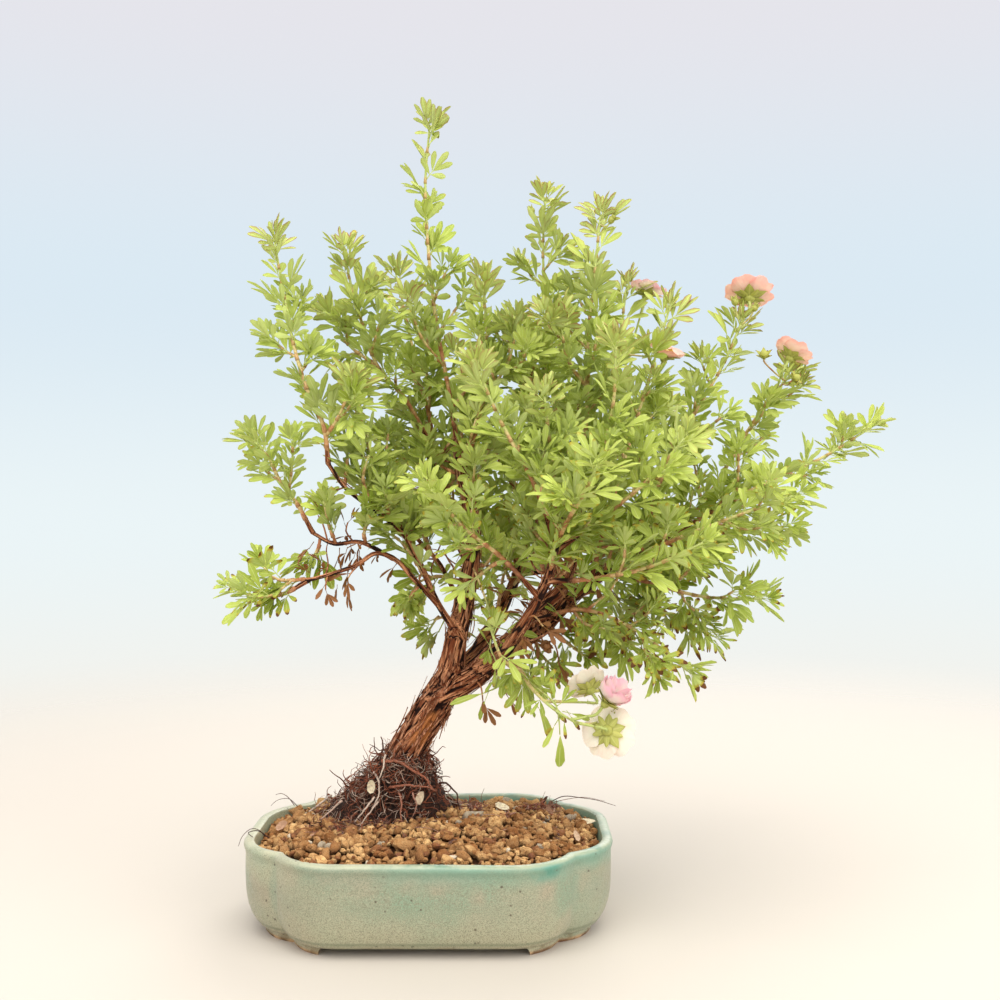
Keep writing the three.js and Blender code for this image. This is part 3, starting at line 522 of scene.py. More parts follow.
def join_copy(bm, mesh, matrix=None, **marks):
    """Sets a copy of a small mesh into a piece, marks it and gives back its points."""
    start = len(bm.verts)
    bm.from_mesh(mesh)
    bm.verts.ensure_lookup_table()
    fresh = bm.verts[start:]
    if matrix is not None:
        for vert in fresh:
            vert.co = matrix @ vert.co
    for name, value in marks.items():
        kinds = bm.verts.layers.float_color if isinstance(value, tuple) else bm.verts.layers.float
        for vert in fresh:
            vert[kinds[name]] = value
    return fresh


for name, side in (("left", -1), ("right", 1)):
    screen_bm = bmesh.new()
    pitch = 2 * (SCREEN_HALF - STRAND_RADIUS) / (STRANDS - 1)
    for strand in range(STRANDS):
        offset = -SCREEN_HALF + STRAND_RADIUS + strand * pitch
        for turned in (False, True):
            path = []
            for step in range(2 * STRANDS - 1):
                along = -SCREEN_HALF + STRAND_RADIUS + step * pitch / 2
                wave = 0.28 * math.sin(math.pi * (step / 2 + strand + turned + 0.5))
                at = (offset, along) if turned else (along, offset)
                path.append(Vector((at[0] + side * DRAIN_AT, at[1], SCREEN_HEIGHT + wave)))
            join_copy(screen_bm, tube_mesh(path, [STRAND_RADIUS] * len(path), 6))
    screen = stand_in_scene(f"screen_{name}", to_mesh(screen_bm, f"screen_{name}"))
    screen.data.materials.append(screen_finish)
    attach(screen, "root")
    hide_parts(f"drain_screen_{name}")

# Soil: a bed of fired clay granules, graded 2 to 7 mm, poured round the roots and left loose.
# The bed under them is a dark sheet of painted shade for the gaps, and each grain darkens toward its foot
# as painted shade; pale chips and bits of root litter lie on top.
SOIL_EDGE = 38
SOIL_CROWN = 45.5
BACK_FALL = 4.5
END_FALL = 2.5
SOIL_INSET = [(8.35, 13.4), (13, 8.4), (34.5, 6.3)]
MOUND_FOOT = (-21, 17, 31.5, 23)
GRAIN_COUNT = 1250
# Big grains that lie high at the back: place and radius.
BIG_GRAINS = [(-56, 33, 43.6, 3.6), (50, 36, 41.8, 3.2), (-66, 14, 42.4, 3), (8, 38, 43, 3)]
GRAIN_SIZES = (1.35, 3.9)
GRAIN_SHAPES = 14
CRUMB_COUNT = 900
CRUMB_SIZES = (0.5, 1.25)


def soil_height(x, y):
    edge = max(abs(x) / POT_HALF[0], abs(y) / POT_HALF[1])
    fall = BACK_FALL * max(0, y / POT_HALF[1]) ** 2 + END_FALL * (x / POT_HALF[0]) ** 4
    return SOIL_EDGE + (SOIL_CROWN - SOIL_EDGE) * (1 - min(1, edge) ** 2.2) - fall


soil_bm = bmesh.new()
bed_rings = [pot_outline(z, inset) for z, inset in SOIL_INSET]
for share in (0.97, 0.86, 0.72, 0.56, 0.4, 0.24, 0.1):
    ring = []
    for point in pot_outline(0, SOIL_INSET[-1][1]):
        x, y = point.x * share, point.y * share
        ring.append(Vector((x, y, soil_height(x, y) - 2.2)))
    bed_rings.append(ring)
skin_rings(soil_bm, bed_rings)
shade_of = soil_bm.verts.layers.float_color.new("grain")
# Painted shade: the bed is marked fully shaded, so it reads as the dark gaps between grains.
for vert in soil_bm.verts:
    vert[shade_of] = (0, 0, 0, 1)

draw = random.Random(17)


def scatter(draw, across, upright, rise=0):
    """A step in a random direction, mostly level or mostly upright."""
    return Vector((draw.gauss(0, across), draw.gauss(0, across), draw.gauss(rise, upright)))


def grain_mesh(fineness, shape):
    """One broken granule: a lumpy ball with some of its sides knocked flat."""
    grain_bm = bmesh.new()
    grain_bm.verts.layers.float_color.new("grain")
    bmesh.ops.create_icosphere(grain_bm, subdivisions=fineness, radius=1)
    away = Vector((shape * 7.3, 1.7, 4.1))
    for vert in grain_bm.verts:
        lump = noise.noise(vert.co * 0.9 + away) * 0.6 + noise.noise(vert.co * 2.6 + away) * 0.42
        vert.co *= 1 + lump
    for cut in range(8):
        normal = scatter(draw, 1, 1).normalized()
        level = draw.uniform(0.6, 0.9)
        for vert in grain_bm.verts:
            beyond = vert.co.dot(normal) - level
            if beyond > 0:
                vert.co -= normal * beyond * 0.95
    bmesh.ops.scale(grain_bm, vec=(1.2, 0.98, 0.86), verts=grain_bm.verts)
    bmesh.ops.recalc_face_normals(grain_bm, faces=grain_bm.faces)
    return keep_mesh(grain_bm, "grain")


grain_shapes = [grain_mesh(2, shape) for shape in range(GRAIN_SHAPES)]
crumb_shapes = [grain_mesh(1, shape + GRAIN_SHAPES) for shape in range(6)]


def in_mound(x, y, grow):
    cx, cy, half_x, half_y = MOUND_FOOT
    return ((x - cx) / (half_x + grow)) ** 2 + ((y - cy) / (half_y + grow)) ** 2 < 1


def in_pot(x, y, wall_gap):
    """Inside the lobed outline, by a gap from the wall."""
    half_x, half_y = POT_HALF[0] - 5.6 - wall_gap, POT_HALF[1] - 5.6 - wall_gap
    x, y = abs(x), abs(y)
    if x > half_x or y > half_y:
        return False
    lobe = LOBE_RADIUS - 5.6 - wall_gap
    reach = GROOVE_DEPTH + math.sqrt(2 * GROOVE_DEPTH * LOBE_RADIUS - GROOVE_DEPTH ** 2)
    first = (POT_HALF[0] - LOBE_RADIUS, POT_HALF[1] - reach)
    second = (POT_HALF[0] - reach, POT_HALF[1] - LOBE_RADIUS)
    in_first = y < first[1] or math.hypot(x - first[0], y - first[1]) < lobe
    in_second = x < second[0] or math.hypot(x - second[0], y - second[1]) < lobe
    if x > first[0] and y > first[1] and x > second[0] and y > second[1]:
        return in_first or in_second
    return True


def tumbled(at, size):
    """Places a grain, turned at random."""
    turn = Matrix.Rotation(draw.uniform(0, math.tau), 4, scatter(draw, 1, 1).normalized())
    return Matrix.Translation(at) @ turn @ Matrix.Scale(size, 4)


cells = {}


def grains_near(x, y):
    """The grains laid so far in the nine cells round a place."""
    return [item for dx in (-1, 0, 1) for dy in (-1, 0, 1)
            for item in cells.get((round(x / 4) + dx, round(y / 4) + dy), ())]


placed = 0
for attempt in range(60000):
    if placed >= GRAIN_COUNT:
        break
    x, y = draw.uniform(-79, 79), draw.uniform(-57, 57)
    radius = GRAIN_SIZES[0] + (GRAIN_SIZES[1] - GRAIN_SIZES[0]) * draw.random() ** 2.2
    if not in_pot(x, y, radius * 0.75) or in_mound(x, y, radius * 0.2):
        continue
    level = soil_height(x, y) - 0.6
    crowded = 0
    for other_x, other_y, other_radius, other_level in grains_near(x, y):
        apart = math.hypot(x - other_x, y - other_y) / (radius + other_radius)
        if apart < 0.62:
            crowded += 1
        elif apart < 0.9:
            level = max(level, other_level + 0.25 * radius)
    if crowded > (attempt > 30000):
        continue
    if crowded:
        level += radius * 0.9
    level = min(level, soil_height(x, y) + 2.4)
    cells.setdefault((round(x / 4), round(y / 4)), []).append((x, y, radius, level))
    place = tumbled((x, y, level), radius)
    kind = draw.random()
    pale = 0.0 if kind < 0.972 else (1.0 if kind < 0.982 else 0.5)
    tone = draw.random()
    # Painted shade: each grain darkens toward its lower side, where it sits among the others.
    for vert in join_copy(soil_bm, draw.choice(grain_shapes), place):
        unshaded = min(1, max(0.15, 0.7 + 0.6 * (vert.co.z - level) / radius))
        vert[shade_of] = (tone, pale, unshaded, 1)
    placed += 1
for x, y, level, radius in BIG_GRAINS:
    place = tumbled((x, y, level), radius)
    join_copy(soil_bm, draw.choice(grain_shapes), place, grain=(0.75, 0.0, 1.0, 1.0))
for index in range(CRUMB_COUNT):
    x, y = draw.uniform(-79, 79), draw.uniform(-57, 57)
    if not in_pot(x, y, 1) or in_mound(x, y, -1):
        continue
    radius = draw.uniform(*CRUMB_SIZES)
    level = soil_height(x, y) - 1.5
    for other_x, other_y, other_radius, other_level in grains_near(x, y):
        apart = math.hypot(x - other_x, y - other_y)
        if apart < other_radius * 0.9:
            dome = math.sqrt(other_radius ** 2 - apart ** 2)
            level = max(level, other_level + 0.8 * dome + 0.3 * radius)
    place = tumbled((x, y, level), radius)
    mark = (draw.random(), 0, 1, 1)
    join_copy(soil_bm, draw.choice(crumb_shapes), place, grain=mark)

soil = stand_in_scene("soil_granules", to_mesh(soil_bm, "soil_granules"))
soil.data.set_sharp_from_angle(angle=math.radians(36))
clay, tree, shader = new_finish("clay_granules", 0.95)
spot = spot_in(tree)
marks = marks_of(tree, "grain")
tan = tint(marks["Red"], sRGB(122, 73, 38), sRGB(242, 198, 136))
tan = tint(grade(marks["Red"], 0.16, 0.0), tan, sRGB(128, 82, 62))
tan = tint(mottle(spot, 420, 0.35, 0.7), tan, sRGB(176, 123, 71), 0.6)
damp = times(mottle(spot, 42, 0.48, 0.62), 0.6)
tan = tint(damp, tan, sRGB(140, 86, 42))
crumb = tint(mottle(spot, 1900, 0.5, 0.72, 4), tan, sRGB(106, 66, 32), 0.75)
crumb = tint(mottle(spot, 2600, 0.62, 0.74, 3), crumb, sRGB(232, 202, 150), 0.6)
grey = tint(grade(marks["Green"], 0.3, 0.5), crumb, sRGB(176, 160, 136))
chalk = tint(grade(marks["Green"], 0.6, 0.95), grey, sRGB(222, 205, 176))
# Painted shade: where the third mark is low, on the bed and on the grains' lower sides, the soil turns
# dark brown.
gap_shaded_soil = tint(marks["Blue"], sRGB(74, 46, 27), chalk)
link(gap_shaded_soil, shader, "Base Color")
relief(shader, mottle(spot, 1500, 0.2, 0.85, 5), 0.0005, 0.8)
shader.inputs["Specular IOR Level"].default_value = 0.2
soil.data.materials.append(clay)
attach(soil, "root")
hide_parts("soil")

# Wood: one leaning trunk that forks into living limbs, thin branches and the short woody
# foot of each shoot. It grew as one piece under stringy red-brown bark that peels in strips.
# Each limb is a path in millimetres from the pot's base, with its radius at foot and end.
LIMBS = {
    "trunk": (9.6, 7.2, [(-19, 13, 49), (-16, 10, 62), (-11, 7, 77), (-2, 4, 93), (6, 2, 107),
        (12, 0, 117)]),
    "limb_left": (6.2, 1.9, [(8, 1, 108), (12, 0, 130), (15, 2, 144), (18, 4, 161), (20, 6, 176),
        (19, 8, 192), (15, 10, 207), (12, 12, 226)]),
    "limb_left_back": (3.4, 1.8, [(19, 5, 168), (8, 20, 187), (0, 26, 205), (-2, 24, 226)]),
    "limb_right": (6.2, 2, [(4, 1, 104), (21, -2, 114), (28, -4, 121), (40, -6, 132),
        (52, -4, 145), (62, 0, 155), (68, 4, 169), (70, 8, 188)]),
    "limb_right_low": (4.4, 1.7, [(36, -5, 128), (55, 4, 137), (67, 12, 149), (87, 18, 163),
        (109, 22, 175), (124, 25, 183)]),
    "limb_back": (4.4, 1.8, [(12, 2, 113), (24, 22, 126), (36, 42, 146), (46, 58, 170),
        (52, 68, 190)]),
    "limb_front": (3.8, 1.8, [(24, -3, 117), (34, -16, 126), (44, -28, 142), (54, -36, 162),
        (58, -42, 180)]),
    "branch_far_left": (2.5, 1.5, [(13, 0, 133), (3, -6, 150), (-4, -10, 167), (-12, -14, 182),
        (-21, -16, 190), (-38, -18, 203), (-46, -18, 214)]),
    "branch_low_left": (2, 1.4, [(4, -5, 148), (-7, -15, 161), (-15, -19, 170), (-24, -20, 173),
        (-32, -22, 168), (-43, -24, 164), (-54, -26, 161)]),
    "branch_mid_left": (1.7, 1.4, [(-16, -19, 170.5), (-32, -16, 178), (-44, -14, 177),
        (-54, -12, 182)]),
    "branch_thin": (1.9, 1.4, [(14, 2, 148), (4, 3, 167), (-2, 1, 174), (-11, -3, 184)]),
}
# Leafy shoots: the limb and place that each springs from, its route, and its side shoots.
# A side shoot starts at its share of the main shoot. A bloom sits past the end of its shoot.
SHOOTS = {
    "spray_crown_top": ("limb_left", 1, [(8, 13, 251), (2, 12, 284), (-2, 10, 323), (-3, 10, 350),
        (-1, 10, 377)]),
    "spray_left_leader": ("limb_left_back", 1, [(-13, 16, 246), (-26, 6, 262), (-33, 0, 283),
        (-38, -4, 302), (-40, -5, 314)]),
    "spray_left_tall": ("branch_far_left", 1, [(-48, -18, 231), (-56, -18, 249), (-62, -17, 269),
        (-67, -16, 294), (-71, -15, 316)]),
    "spray_left_back": ("limb_left_back", 0.8, [(-2, 34, 236), (-8, 40, 258), (-14, 42, 286),
        (-20, 42, 312)]),
    "spray_centre": ("limb_left", 0.86, [(22, 2, 232), (27, -4, 262), (25, -6, 300)]),
    "spray_mid_peak": ("limb_right", 0.84, [(58, 20, 205), (54, 22, 240), (56, 20, 285),
        (54, 17, 316), (55, 15, 343)]),
    "spray_right_peak": ("limb_right", 1, [(72, 4, 212), (74, -4, 240), (74, -9, 270),
        (77, -10, 302), (80, -8, 330)]),
    "spray_right_back_peak": ("limb_right", 0.94, [(80, 24, 214), (86, 34, 240), (92, 38, 268),
        (97, 38, 304)]),
    "spray_right_inner": ("limb_right_low", 0.5, [(82, -6, 184), (92, -18, 222), (102, -22, 256),
        (110, -22, 284)]),
    "spray_right_tall": ("limb_right_low", 0.8, [(108, 10, 200), (126, 6, 238), (140, 6, 262),
        (148, 5, 281)]),
    "spray_right_upper": ("limb_right_low", 1, [(140, 28, 204), (158, 28, 234), (171, 26, 252),
        (179, 24, 261)]),
    "spray_far_right": ("limb_right_low", 0.94, [(140, 10, 194), (163, 3, 207), (186, 3, 217),
        (201, 4, 226), (211, 5, 232)]),
    "spray_right_front": ("limb_right_low", 0.72, [(104, -8, 174), (124, -24, 184),
        (147, -30, 193), (166, -32, 200)]),
    "spray_right_mid": ("limb_right_low", 0.97, [(140, 40, 184), (162, 48, 183), (182, 48, 182)]),
    "spray_right_low": ("limb_right_low", 0.6, [(102, 10, 158), (130, 4, 151), (158, 2, 150)]),
    "spray_low_centre": ("limb_right_low", 0.36, [(80, 4, 140), (96, 2, 128), (107, 0, 115)]),
    "spray_low_front": ("limb_right", 0.5, [(70, -18, 147), (90, -27, 141), (105, -32, 131),
        (117, -34, 121)]),
    "spray_front_left": ("limb_front", 0.97, [(48, -52, 204), (34, -58, 230), (23, -60, 254)]),
    "spray_front_low": ("limb_front", 0.66, [(34, -42, 172), (17, -50, 186), (1, -53, 205)]),
    "spray_front_centre": ("limb_front", 1, [(56, -50, 208), (52, -56, 242)]),
    "spray_front_high": ("limb_front", 0.98, [(74, -42, 208), (82, -48, 238), (83, -52, 264)]),
    "spray_front_right": ("limb_front", 0.93, [(80, -50, 192), (98, -58, 208), (111, -62, 224)]),
    "spray_front_right_low": ("limb_front", 0.76, [(76, -52, 164), (98, -62, 170),
        (118, -68, 180)]),
    "spray_front_out": ("limb_front", 0.9, [(60, -62, 186), (66, -78, 198), (72, -91, 212)]),
    "spray_flowering": ("limb_right", 0.25, [(40, -22, 122), (47, -37, 114), (56, -49, 107),
        (66, -54, 101.5)]),
    "spray_low_left": ("branch_low_left", 1, [(-65, -28, 155), (-77, -29, 154), (-88, -30, 158)]),
    "spray_mid_left": ("branch_mid_left", 1, [(-62, -10, 196), (-69, -10, 205), (-75, -10, 217),
        (-83, -10, 226)]),
    "spray_thin_left": ("branch_thin", 1, [(-20, -4, 202), (-28, -2, 219), (-34, 2, 238),
        (-38, 4, 252)]),
    "spray_back_left": ("limb_back", 0.94, [(38, 68, 208), (20, 74, 244), (9, 76, 277)]),
    "spray_back_centre": ("limb_back", 1, [(58, 78, 222), (64, 84, 262), (66, 85, 293)]),
    "spray_back_right": ("limb_back", 0.96, [(80, 74, 206), (106, 80, 228), (127, 82, 246)]),
    "spray_back_low": ("limb_back", 0.66, [(70, 58, 160), (102, 64, 160), (131, 68, 163)]),
    "spray_back_far_left": ("limb_back", 0.78, [(20, 56, 188), (-6, 60, 208), (-27, 62, 230)]),
}
# Side shoots of each: share of the way along it, route, and its bloom, if it ends in one.
SIDE_SHOOTS = {
    "spray_crown_top": [(0.24, [(-4, 5, 274), (-11, 0, 292)], "leafy")],
    "spray_left_leader": [(0.45, [(-40, 8, 272), (-50, 10, 288)], "leafy")],
    "spray_left_tall": [(0.12, [(-40, -24, 236), (-34, -28, 250)], "leafy")],
    "spray_centre": [(0.4, [(37, -12, 262), (41, -18, 280)], "leafy")],
    "spray_mid_peak": [(0.42, [(46, 12, 262), (40, 8, 280)], "leafy")],
    "spray_right_peak": [(0.44, [(64, -20, 262), (60, -26, 280)], "leafy")],
    "spray_right_back_peak": [(0.68, [(101, 39, 280), (104, 38, 290)], "high")],
    "spray_right_inner": [(0.7, [(101, -11, 250), (105.5, -7, 255)], "inner")],
    "spray_right_tall": [(0.97, [(150.5, 5, 285)], "tall")],
    "spray_right_upper": [(0.84, [(168, 15, 252), (169, 11, 257)], "right")],
    "spray_right_low": [(0.3, [(112, 22, 144), (126, 32, 135), (141, 36, 128)], "leafy")],
    "spray_front_low": [(0.34, [(26, -40, 166), (17, -40, 157)], "sparse")],
    "spray_flowering": [(0.4, [(34, -36, 127), (28, -38, 143)], "leafy"),
        (0.74, [(72, -40, 108)], "cream_upper"), (0.96, [(71, -54, 104.5)], "pink_cup"),
        (0.99, [(74, -59, 101)], "cream_lower")],
    "spray_back_centre": [(0.3, [(52, 94, 226), (50, 104, 240)], "leafy")],
    "spray_back_far_left": [(0.4, [(2, 50, 190), (-12, 44, 192)], "leafy")],
}
# Shoots that differ: how far up they are bare or leafy, their side shoots and leaf size.
HABITS = {
    "spray_front_low": {"bare": 0.3},
    "spray_flowering": {"leafy": 0.6, "bare": 0.3},
    "spray_low_left": {"side_share": 0.08, "leaf_size": 0.7},
}
TWIG_LENGTH = 15
TWIG_RADIUS = 1.6
SHOOT_RADIUS = 1.1
WOOD_GRAIN = 0.00066
BARK_DEPTH = 0.13
BRANCH_THINNED = 0.7
# Painted shade: the side of each thick limb that faces this way is coloured darker.
SHADED_SIDE = Vector((0.8, -0.2, -0.56))
TRUNK_FLARE = 2.6


class GrownPath:
    """A smooth path through given points, held as points about a millimetre apart."""

    def __init__(self, route):
        given = [Vector(point) for point in route]
        given = [given[0] * 2 - given[1]] + given + [given[-1] * 2 - given[-2]]
        self.points = [given[1]]
        for before, start, end, after in zip(given, given[1:], given[2:], given[3:]):
            first = (start - before).length ** 0.5
            own = (end - start).length ** 0.5
            last = (after - end).length ** 0.5
            lead = (start - before) / first - (end - before) / (first + own) + (end - start) / own
            trail = (end - start) / own - (after - start) / (own + last) + (after - end) / last
            lead, trail = lead * own, trail * own
            steps = max(2, round((end - start).length))
            for step in range(1, steps + 1):
                t = step / steps
                bend = start * (2 * t ** 3 - 3 * t ** 2 + 1) + end * (3 * t ** 2 - 2 * t ** 3)
                bend += lead * (t ** 3 - 2 * t ** 2 + t) + trail * (t ** 3 - t ** 2)
                self.points.append(bend)
        self.reach = [0]
        for a, b in zip(self.points, self.points[1:]):
            self.reach.append(self.reach[-1] + (b - a).length)
        self.length = self.reach[-1]

    def at(self, distance):
        """The place and the direction of growth that far along."""
        distance = min(max(distance, 0), self.length - 1e-6)
        index = bisect.bisect_right(self.reach, distance) - 1
        a, b = self.points[index], self.points[index + 1]
        share = (distance - self.reach[index]) / (self.reach[index + 1] - self.reach[index])
        return a.lerp(b, share), (b - a).normalized()

    def stretch(self, pitch, start=0, end=None):
        """Places from one distance to another, about pitch apart."""
        end = end or self.length
        steps = max(2, round((end - start) / pitch))
        return [self.at(start + (end - start) * step / steps)[0] for step in range(steps + 1)]


limb_paths = {name: GrownPath(route) for name, (_, _, route) in LIMBS.items()}
shoot_paths = {}


def on_limb(limb, share):
    """The place on a limb and the way it grows there, by the share of its length."""
    return limb_paths[limb].at(limb_paths[limb].length * share)


for name, (limb, at, route) in SHOOTS.items():
    woody = TWIG_LENGTH if at < 1 else TWIG_LENGTH / 2
    shoot_paths[name] = (GrownPath([on_limb(limb, at)[0]] + route), woody)

wood_bm = bmesh.new()
bark_marks = []


def mark_bark(path, start, end, radius_at):
    """Notes where the bark runs, so that its grain can follow each limb."""
    across = None
    steps = max(2, round((end - start) / 1.5))
    for step in range(steps + 1):
        distance = start + (end - start) * step / steps
        centre, ahead = path.at(distance)
        if across is None:
            across = ahead.orthogonal()
        across = (across - ahead * across.dot(ahead)).normalized()
        bark_marks.append((centre, ahead, across.copy(), distance, radius_at(step / steps)))


for name, path in limb_paths.items():
    foot, end = [radius * (BRANCH_THINNED if "branch" in name else 1) for radius in LIMBS[name][:2]]
    flare = TRUNK_FLARE if name == "trunk" else foot * 0.25

    def limb_radius(share, foot=foot, end=end, flare=flare):
        return foot + (end - foot) * share + flare * max(0, 1 - share / 0.16) ** 2

    points = path.stretch(2.4)
    radii = [limb_radius(index / (len(points) - 1)) for index in range(len(points))]
    join_copy(wood_bm, tube_mesh(points, radii, 18 if foot > 4 else 12))
    mark_bark(path, 0, path.length, limb_radius)
for name, (path, woody) in shoot_paths.items():
    foot = min(TWIG_RADIUS, LIMBS[SHOOTS[name][0]][1])

    def twig_radius(share, foot=foot):
        return foot + (SHOOT_RADIUS - foot) * share

    points = path.stretch(2, 0, woody)
    radii = [twig_radius(index / (len(points) - 1)) for index in range(len(points))]
    join_copy(wood_bm, tube_mesh(points, radii, 9))
    mark_bark(path, 0, woody, twig_radius)
wood = stand_in_scene("wood_bark", to_mesh(wood_bm, "wood_bark"))
fuse = wood.modifiers.new("fuse", "REMESH")
fuse.mode = "VOXEL"
fuse.voxel_size = WOOD_GRAIN
settle(wood)

nearest = KDTree(len(bark_marks))
for index, mark in enumerate(bark_marks):
    nearest.insert(mark[0], index)
nearest.balance()
wood_bm = bmesh.new()
wood_bm.from_mesh(wood.data)
bmesh.ops.smooth_vert(wood_bm, verts=wood_bm.verts, factor=0.5, use_axis_x=True, use_axis_y=True,
                      use_axis_z=True)
strand_of = wood_bm.verts.layers.float_vector.new("strand")
bark_shade_of = wood_bm.verts.layers.float.new("bark_tone_and_shade")
for vert in wood_bm.verts:
    at = (vert.co - pot_foot) / MM
    centre, ahead, across, distance, radius = bark_marks[nearest.find(at)[1]]
    offset = at - centre
    spiral = Matrix.Rotation(distance * 0.012, 3, ahead)
    turned = spiral @ across
    sideways, upward = offset.dot(turned), offset.dot(ahead.cross(turned))
    along = distance + offset.dot(ahead)
    fibre = noise.noise(Vector((sideways * 0.42, upward * 0.42, along * 0.045)))
    fine = noise.noise(Vector((sideways * 1.0, upward * 1.0, along * 0.10 + 9)))
    lump = noise.noise(at / 13)
    crack = max(0, 1 - abs(fibre) * 5)
    lift = BARK_DEPTH * radius * (1.5 * abs(fibre) + 0.8 * fine - 0.55 * crack + 0.6 * lump - 0.55)
    if radius > 2.2:
        vert.co += offset.normalized() * lift * MM
    vert[strand_of] = (sideways, upward, along)
    # Painted shade: the bark's mark drops in its cracks and on the lower right side, away from the key
    # light; the rest of it is fibre tone.
    away_from_light = max(0, offset.normalized().dot(SHADED_SIDE)) if radius > 2.2 else 0
    vert[bark_shade_of] = min(1, max(0, 0.5 + 0.5 * fine - 0.6 * crack + 0.6 * abs(fibre) - 0.3 * away_from_light))
for face in wood_bm.faces:
    face.smooth = True
wood_bm.to_mesh(wood.data)
wood_bm.free()


def bark_finish(name, dark, middle, light):
    material, tree, shader = new_finish(name, 0.88)
    strand = put(tree, "Attribute", {"attribute_name": "strand"}).outputs["Vector"]
    grain = sums("MULTIPLY", strand, (1, 1, 0.09), kind="VectorMath")
    bark_tone_and_shade = put(tree, "Attribute", {"attribute_name": "bark_tone_and_shade"}).outputs["Fac"]
    wood_tone = tint(mottle(grain, 0.75, 0.38, 0.66, 4), middle, light)
    wood_tone = tint(mottle(grain, 1.9, 0.50, 0.64, 3), wood_tone, dark)
    spot = spot_in(tree)
    wood_tone = tint(mottle(spot, 110, 0.55, 0.75), wood_tone, sRGB(146, 104, 78), 0.5)
    # Painted shade on the wood: low marks, from its cracks and its side away from the light, turn the
    # bark near black; on the flakes the mark is random wear.
    wood_tone = tint(grade(bark_tone_and_shade, 0.5, 0.16), wood_tone, sRGB(40, 17, 10))
    relief(shader, mottle(grain, 2.6, 0.25, 0.75, 4), 0.0006, 0.85)
    shader.inputs["Specular IOR Level"].default_value = 0.25
    return material, tree, shader, wood_tone, spot


bark, tree, shader, tone, spot = bark_finish(
    "fibrous_bark", sRGB(70, 28, 12), sRGB(130, 66, 36), sRGB(230, 160, 114))
HEARTWOOD_AT = from_pot((-3, -5, 88))
apart = sums("SUBTRACT", spot, HEARTWOOD_AT, kind="VectorMath")
slanted = put(tree, "VectorRotate", {"rotation_type": "Y_AXIS"}, Vector=apart, Angle=math.radians(-34))
longer = sums("MULTIPLY", slanted.outputs[0], (1, 0.5, 0.42), kind="VectorMath")
size = sums("LENGTH", longer, kind="VectorMath")
bare_wood = times(grade(size, 0.0058, 0.003), mottle(spot, 260, 0.3, 0.5))
tone = tint(bare_wood, tone, sRGB(196, 122, 66), 0.85)
link(tone, shader, "Base Color")
wood.data.materials.clear()
wood.data.materials.append(bark)
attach(wood, "root")
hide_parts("wood")

# Bark flakes: strips of old bark that hang on by one end, and a few short dead twigs inside
# the crown. The strips are paper-thin and curl away from the limb they grew on.
STRIP_COUNT = {"trunk": 130, "limb_left": 80, "limb_right": 84, "limb_right_low": 32,
               "limb_back": 20, "limb_front": 16, "limb_left_back": 10, "branch_far_left": 8}
DEAD_TWIGS = 46

flake_bm = bmesh.new()
strand_of = flake_bm.verts.layers.float_vector.new("strand")
crevice_of = flake_bm.verts.layers.float.new("bark_tone_and_shade")
draw = random.Random(29)


def add_strip(mesh, along_scale=1.0):
    """Joins a strip to the others and gives it a grain of its own."""
    shift = draw.uniform(0, 90)
    worn = draw.uniform(0.35, 1)
    for vert in join_copy(flake_bm, mesh):
        vert[strand_of] = (vert.co.x + shift, vert.co.y, vert.co.z * along_scale)
        vert[crevice_of] = worn


for name, count in STRIP_COUNT.items():
    path = limb_paths[name]
    foot, end, _ = LIMBS[name]
    for strip in range(count):
        length = draw.uniform(5, 20) * (1 if foot > 4 else 0.7)
        start = draw.uniform(0.06, 0.97) * path.length
        way = draw.choice((-1, 1))
        angle = draw.uniform(0, math.tau)
        width = draw.uniform(0.35, 1.25) * (1.35 if foot > 5 else 0.8)
        lift = draw.uniform(0.1, 1) ** 2 * 3.6
        drift = draw.uniform(-0.5, 0.5)
        rings = []
        steps = 7
        for step in range(steps + 1):
            share = step / steps
            distance = start + way * length * share
            centre, ahead = path.at(distance)
            across = (Vector((0.3, 1, 0.2)) - ahead * ahead.dot(Vector((0.3, 1, 0.2)))).normalized()
            outward = Matrix.Rotation(angle + drift * share, 3, ahead) @ across
            sideways = ahead.cross(outward)
            radius = foot + (end - foot) * distance / path.length
            stand = radius * 1.05 + 0.1 + lift * share ** 2.2
            middle = centre + outward * stand
            half = width * (0.35 + 0.65 * math.sin(math.pi * min(1, share * 1.1 + 0.12)) ** 0.7) / 2
            thin = outward * 0.11
            rings.append([middle + sideways * half + thin, middle - sideways * half + thin,
                          middle - sideways * half - thin, middle + sideways * half - thin])
        strip_bm = bmesh.new()
        skin_rings(strip_bm, rings)
        add_strip(keep_mesh(strip_bm, "strip"))

for twig in range(DEAD_TWIGS):
    name = draw.choice(["limb_left", "limb_right", "limb_right_low", "limb_front", "limb_back",
                        "branch_far_left", "branch_thin", "branch_low_left", "limb_left_back"])
    path = limb_paths[name]
    centre, ahead = path.at(draw.uniform(0.25, 0.95) * path.length)
    out = (scatter(draw, 1, 1, 0.3)).normalized()
    out = (out - ahead * out.dot(ahead) * 0.7).normalized()
    reach = draw.uniform(8, 26)
    route = [centre, centre + out * reach * 0.35]
    out = (out + scatter(draw, 0.3, 0.3, 0.35)).normalized()
    route.append(route[-1] + out * reach * 0.35)
    out = (out + scatter(draw, 0.4, 0.3, 0.2)).normalized()
    route.append(route[-1] + out * reach * 0.3)
    dead = GrownPath(route)
    points = dead.stretch(2.5)
    thick = draw.uniform(0.4, 0.8)
    radii = [thick * (1 - 0.6 * index / (len(points) - 1)) for index in range(len(points))]
    add_strip(tube_mesh(points, radii, 5), 0.3)

flakes = stand_in_scene("bark_flakes", to_mesh(flake_bm, "bark_flakes"))
flake_finish, tree, shader, tone, spot = bark_finish(
    "peeling_bark", sRGB(88, 40, 22), sRGB(158, 90, 56), sRGB(226, 164, 124))
link(tone, shader, "Base Color")
flakes.data.materials.append(flake_finish)
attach(flakes, "root")

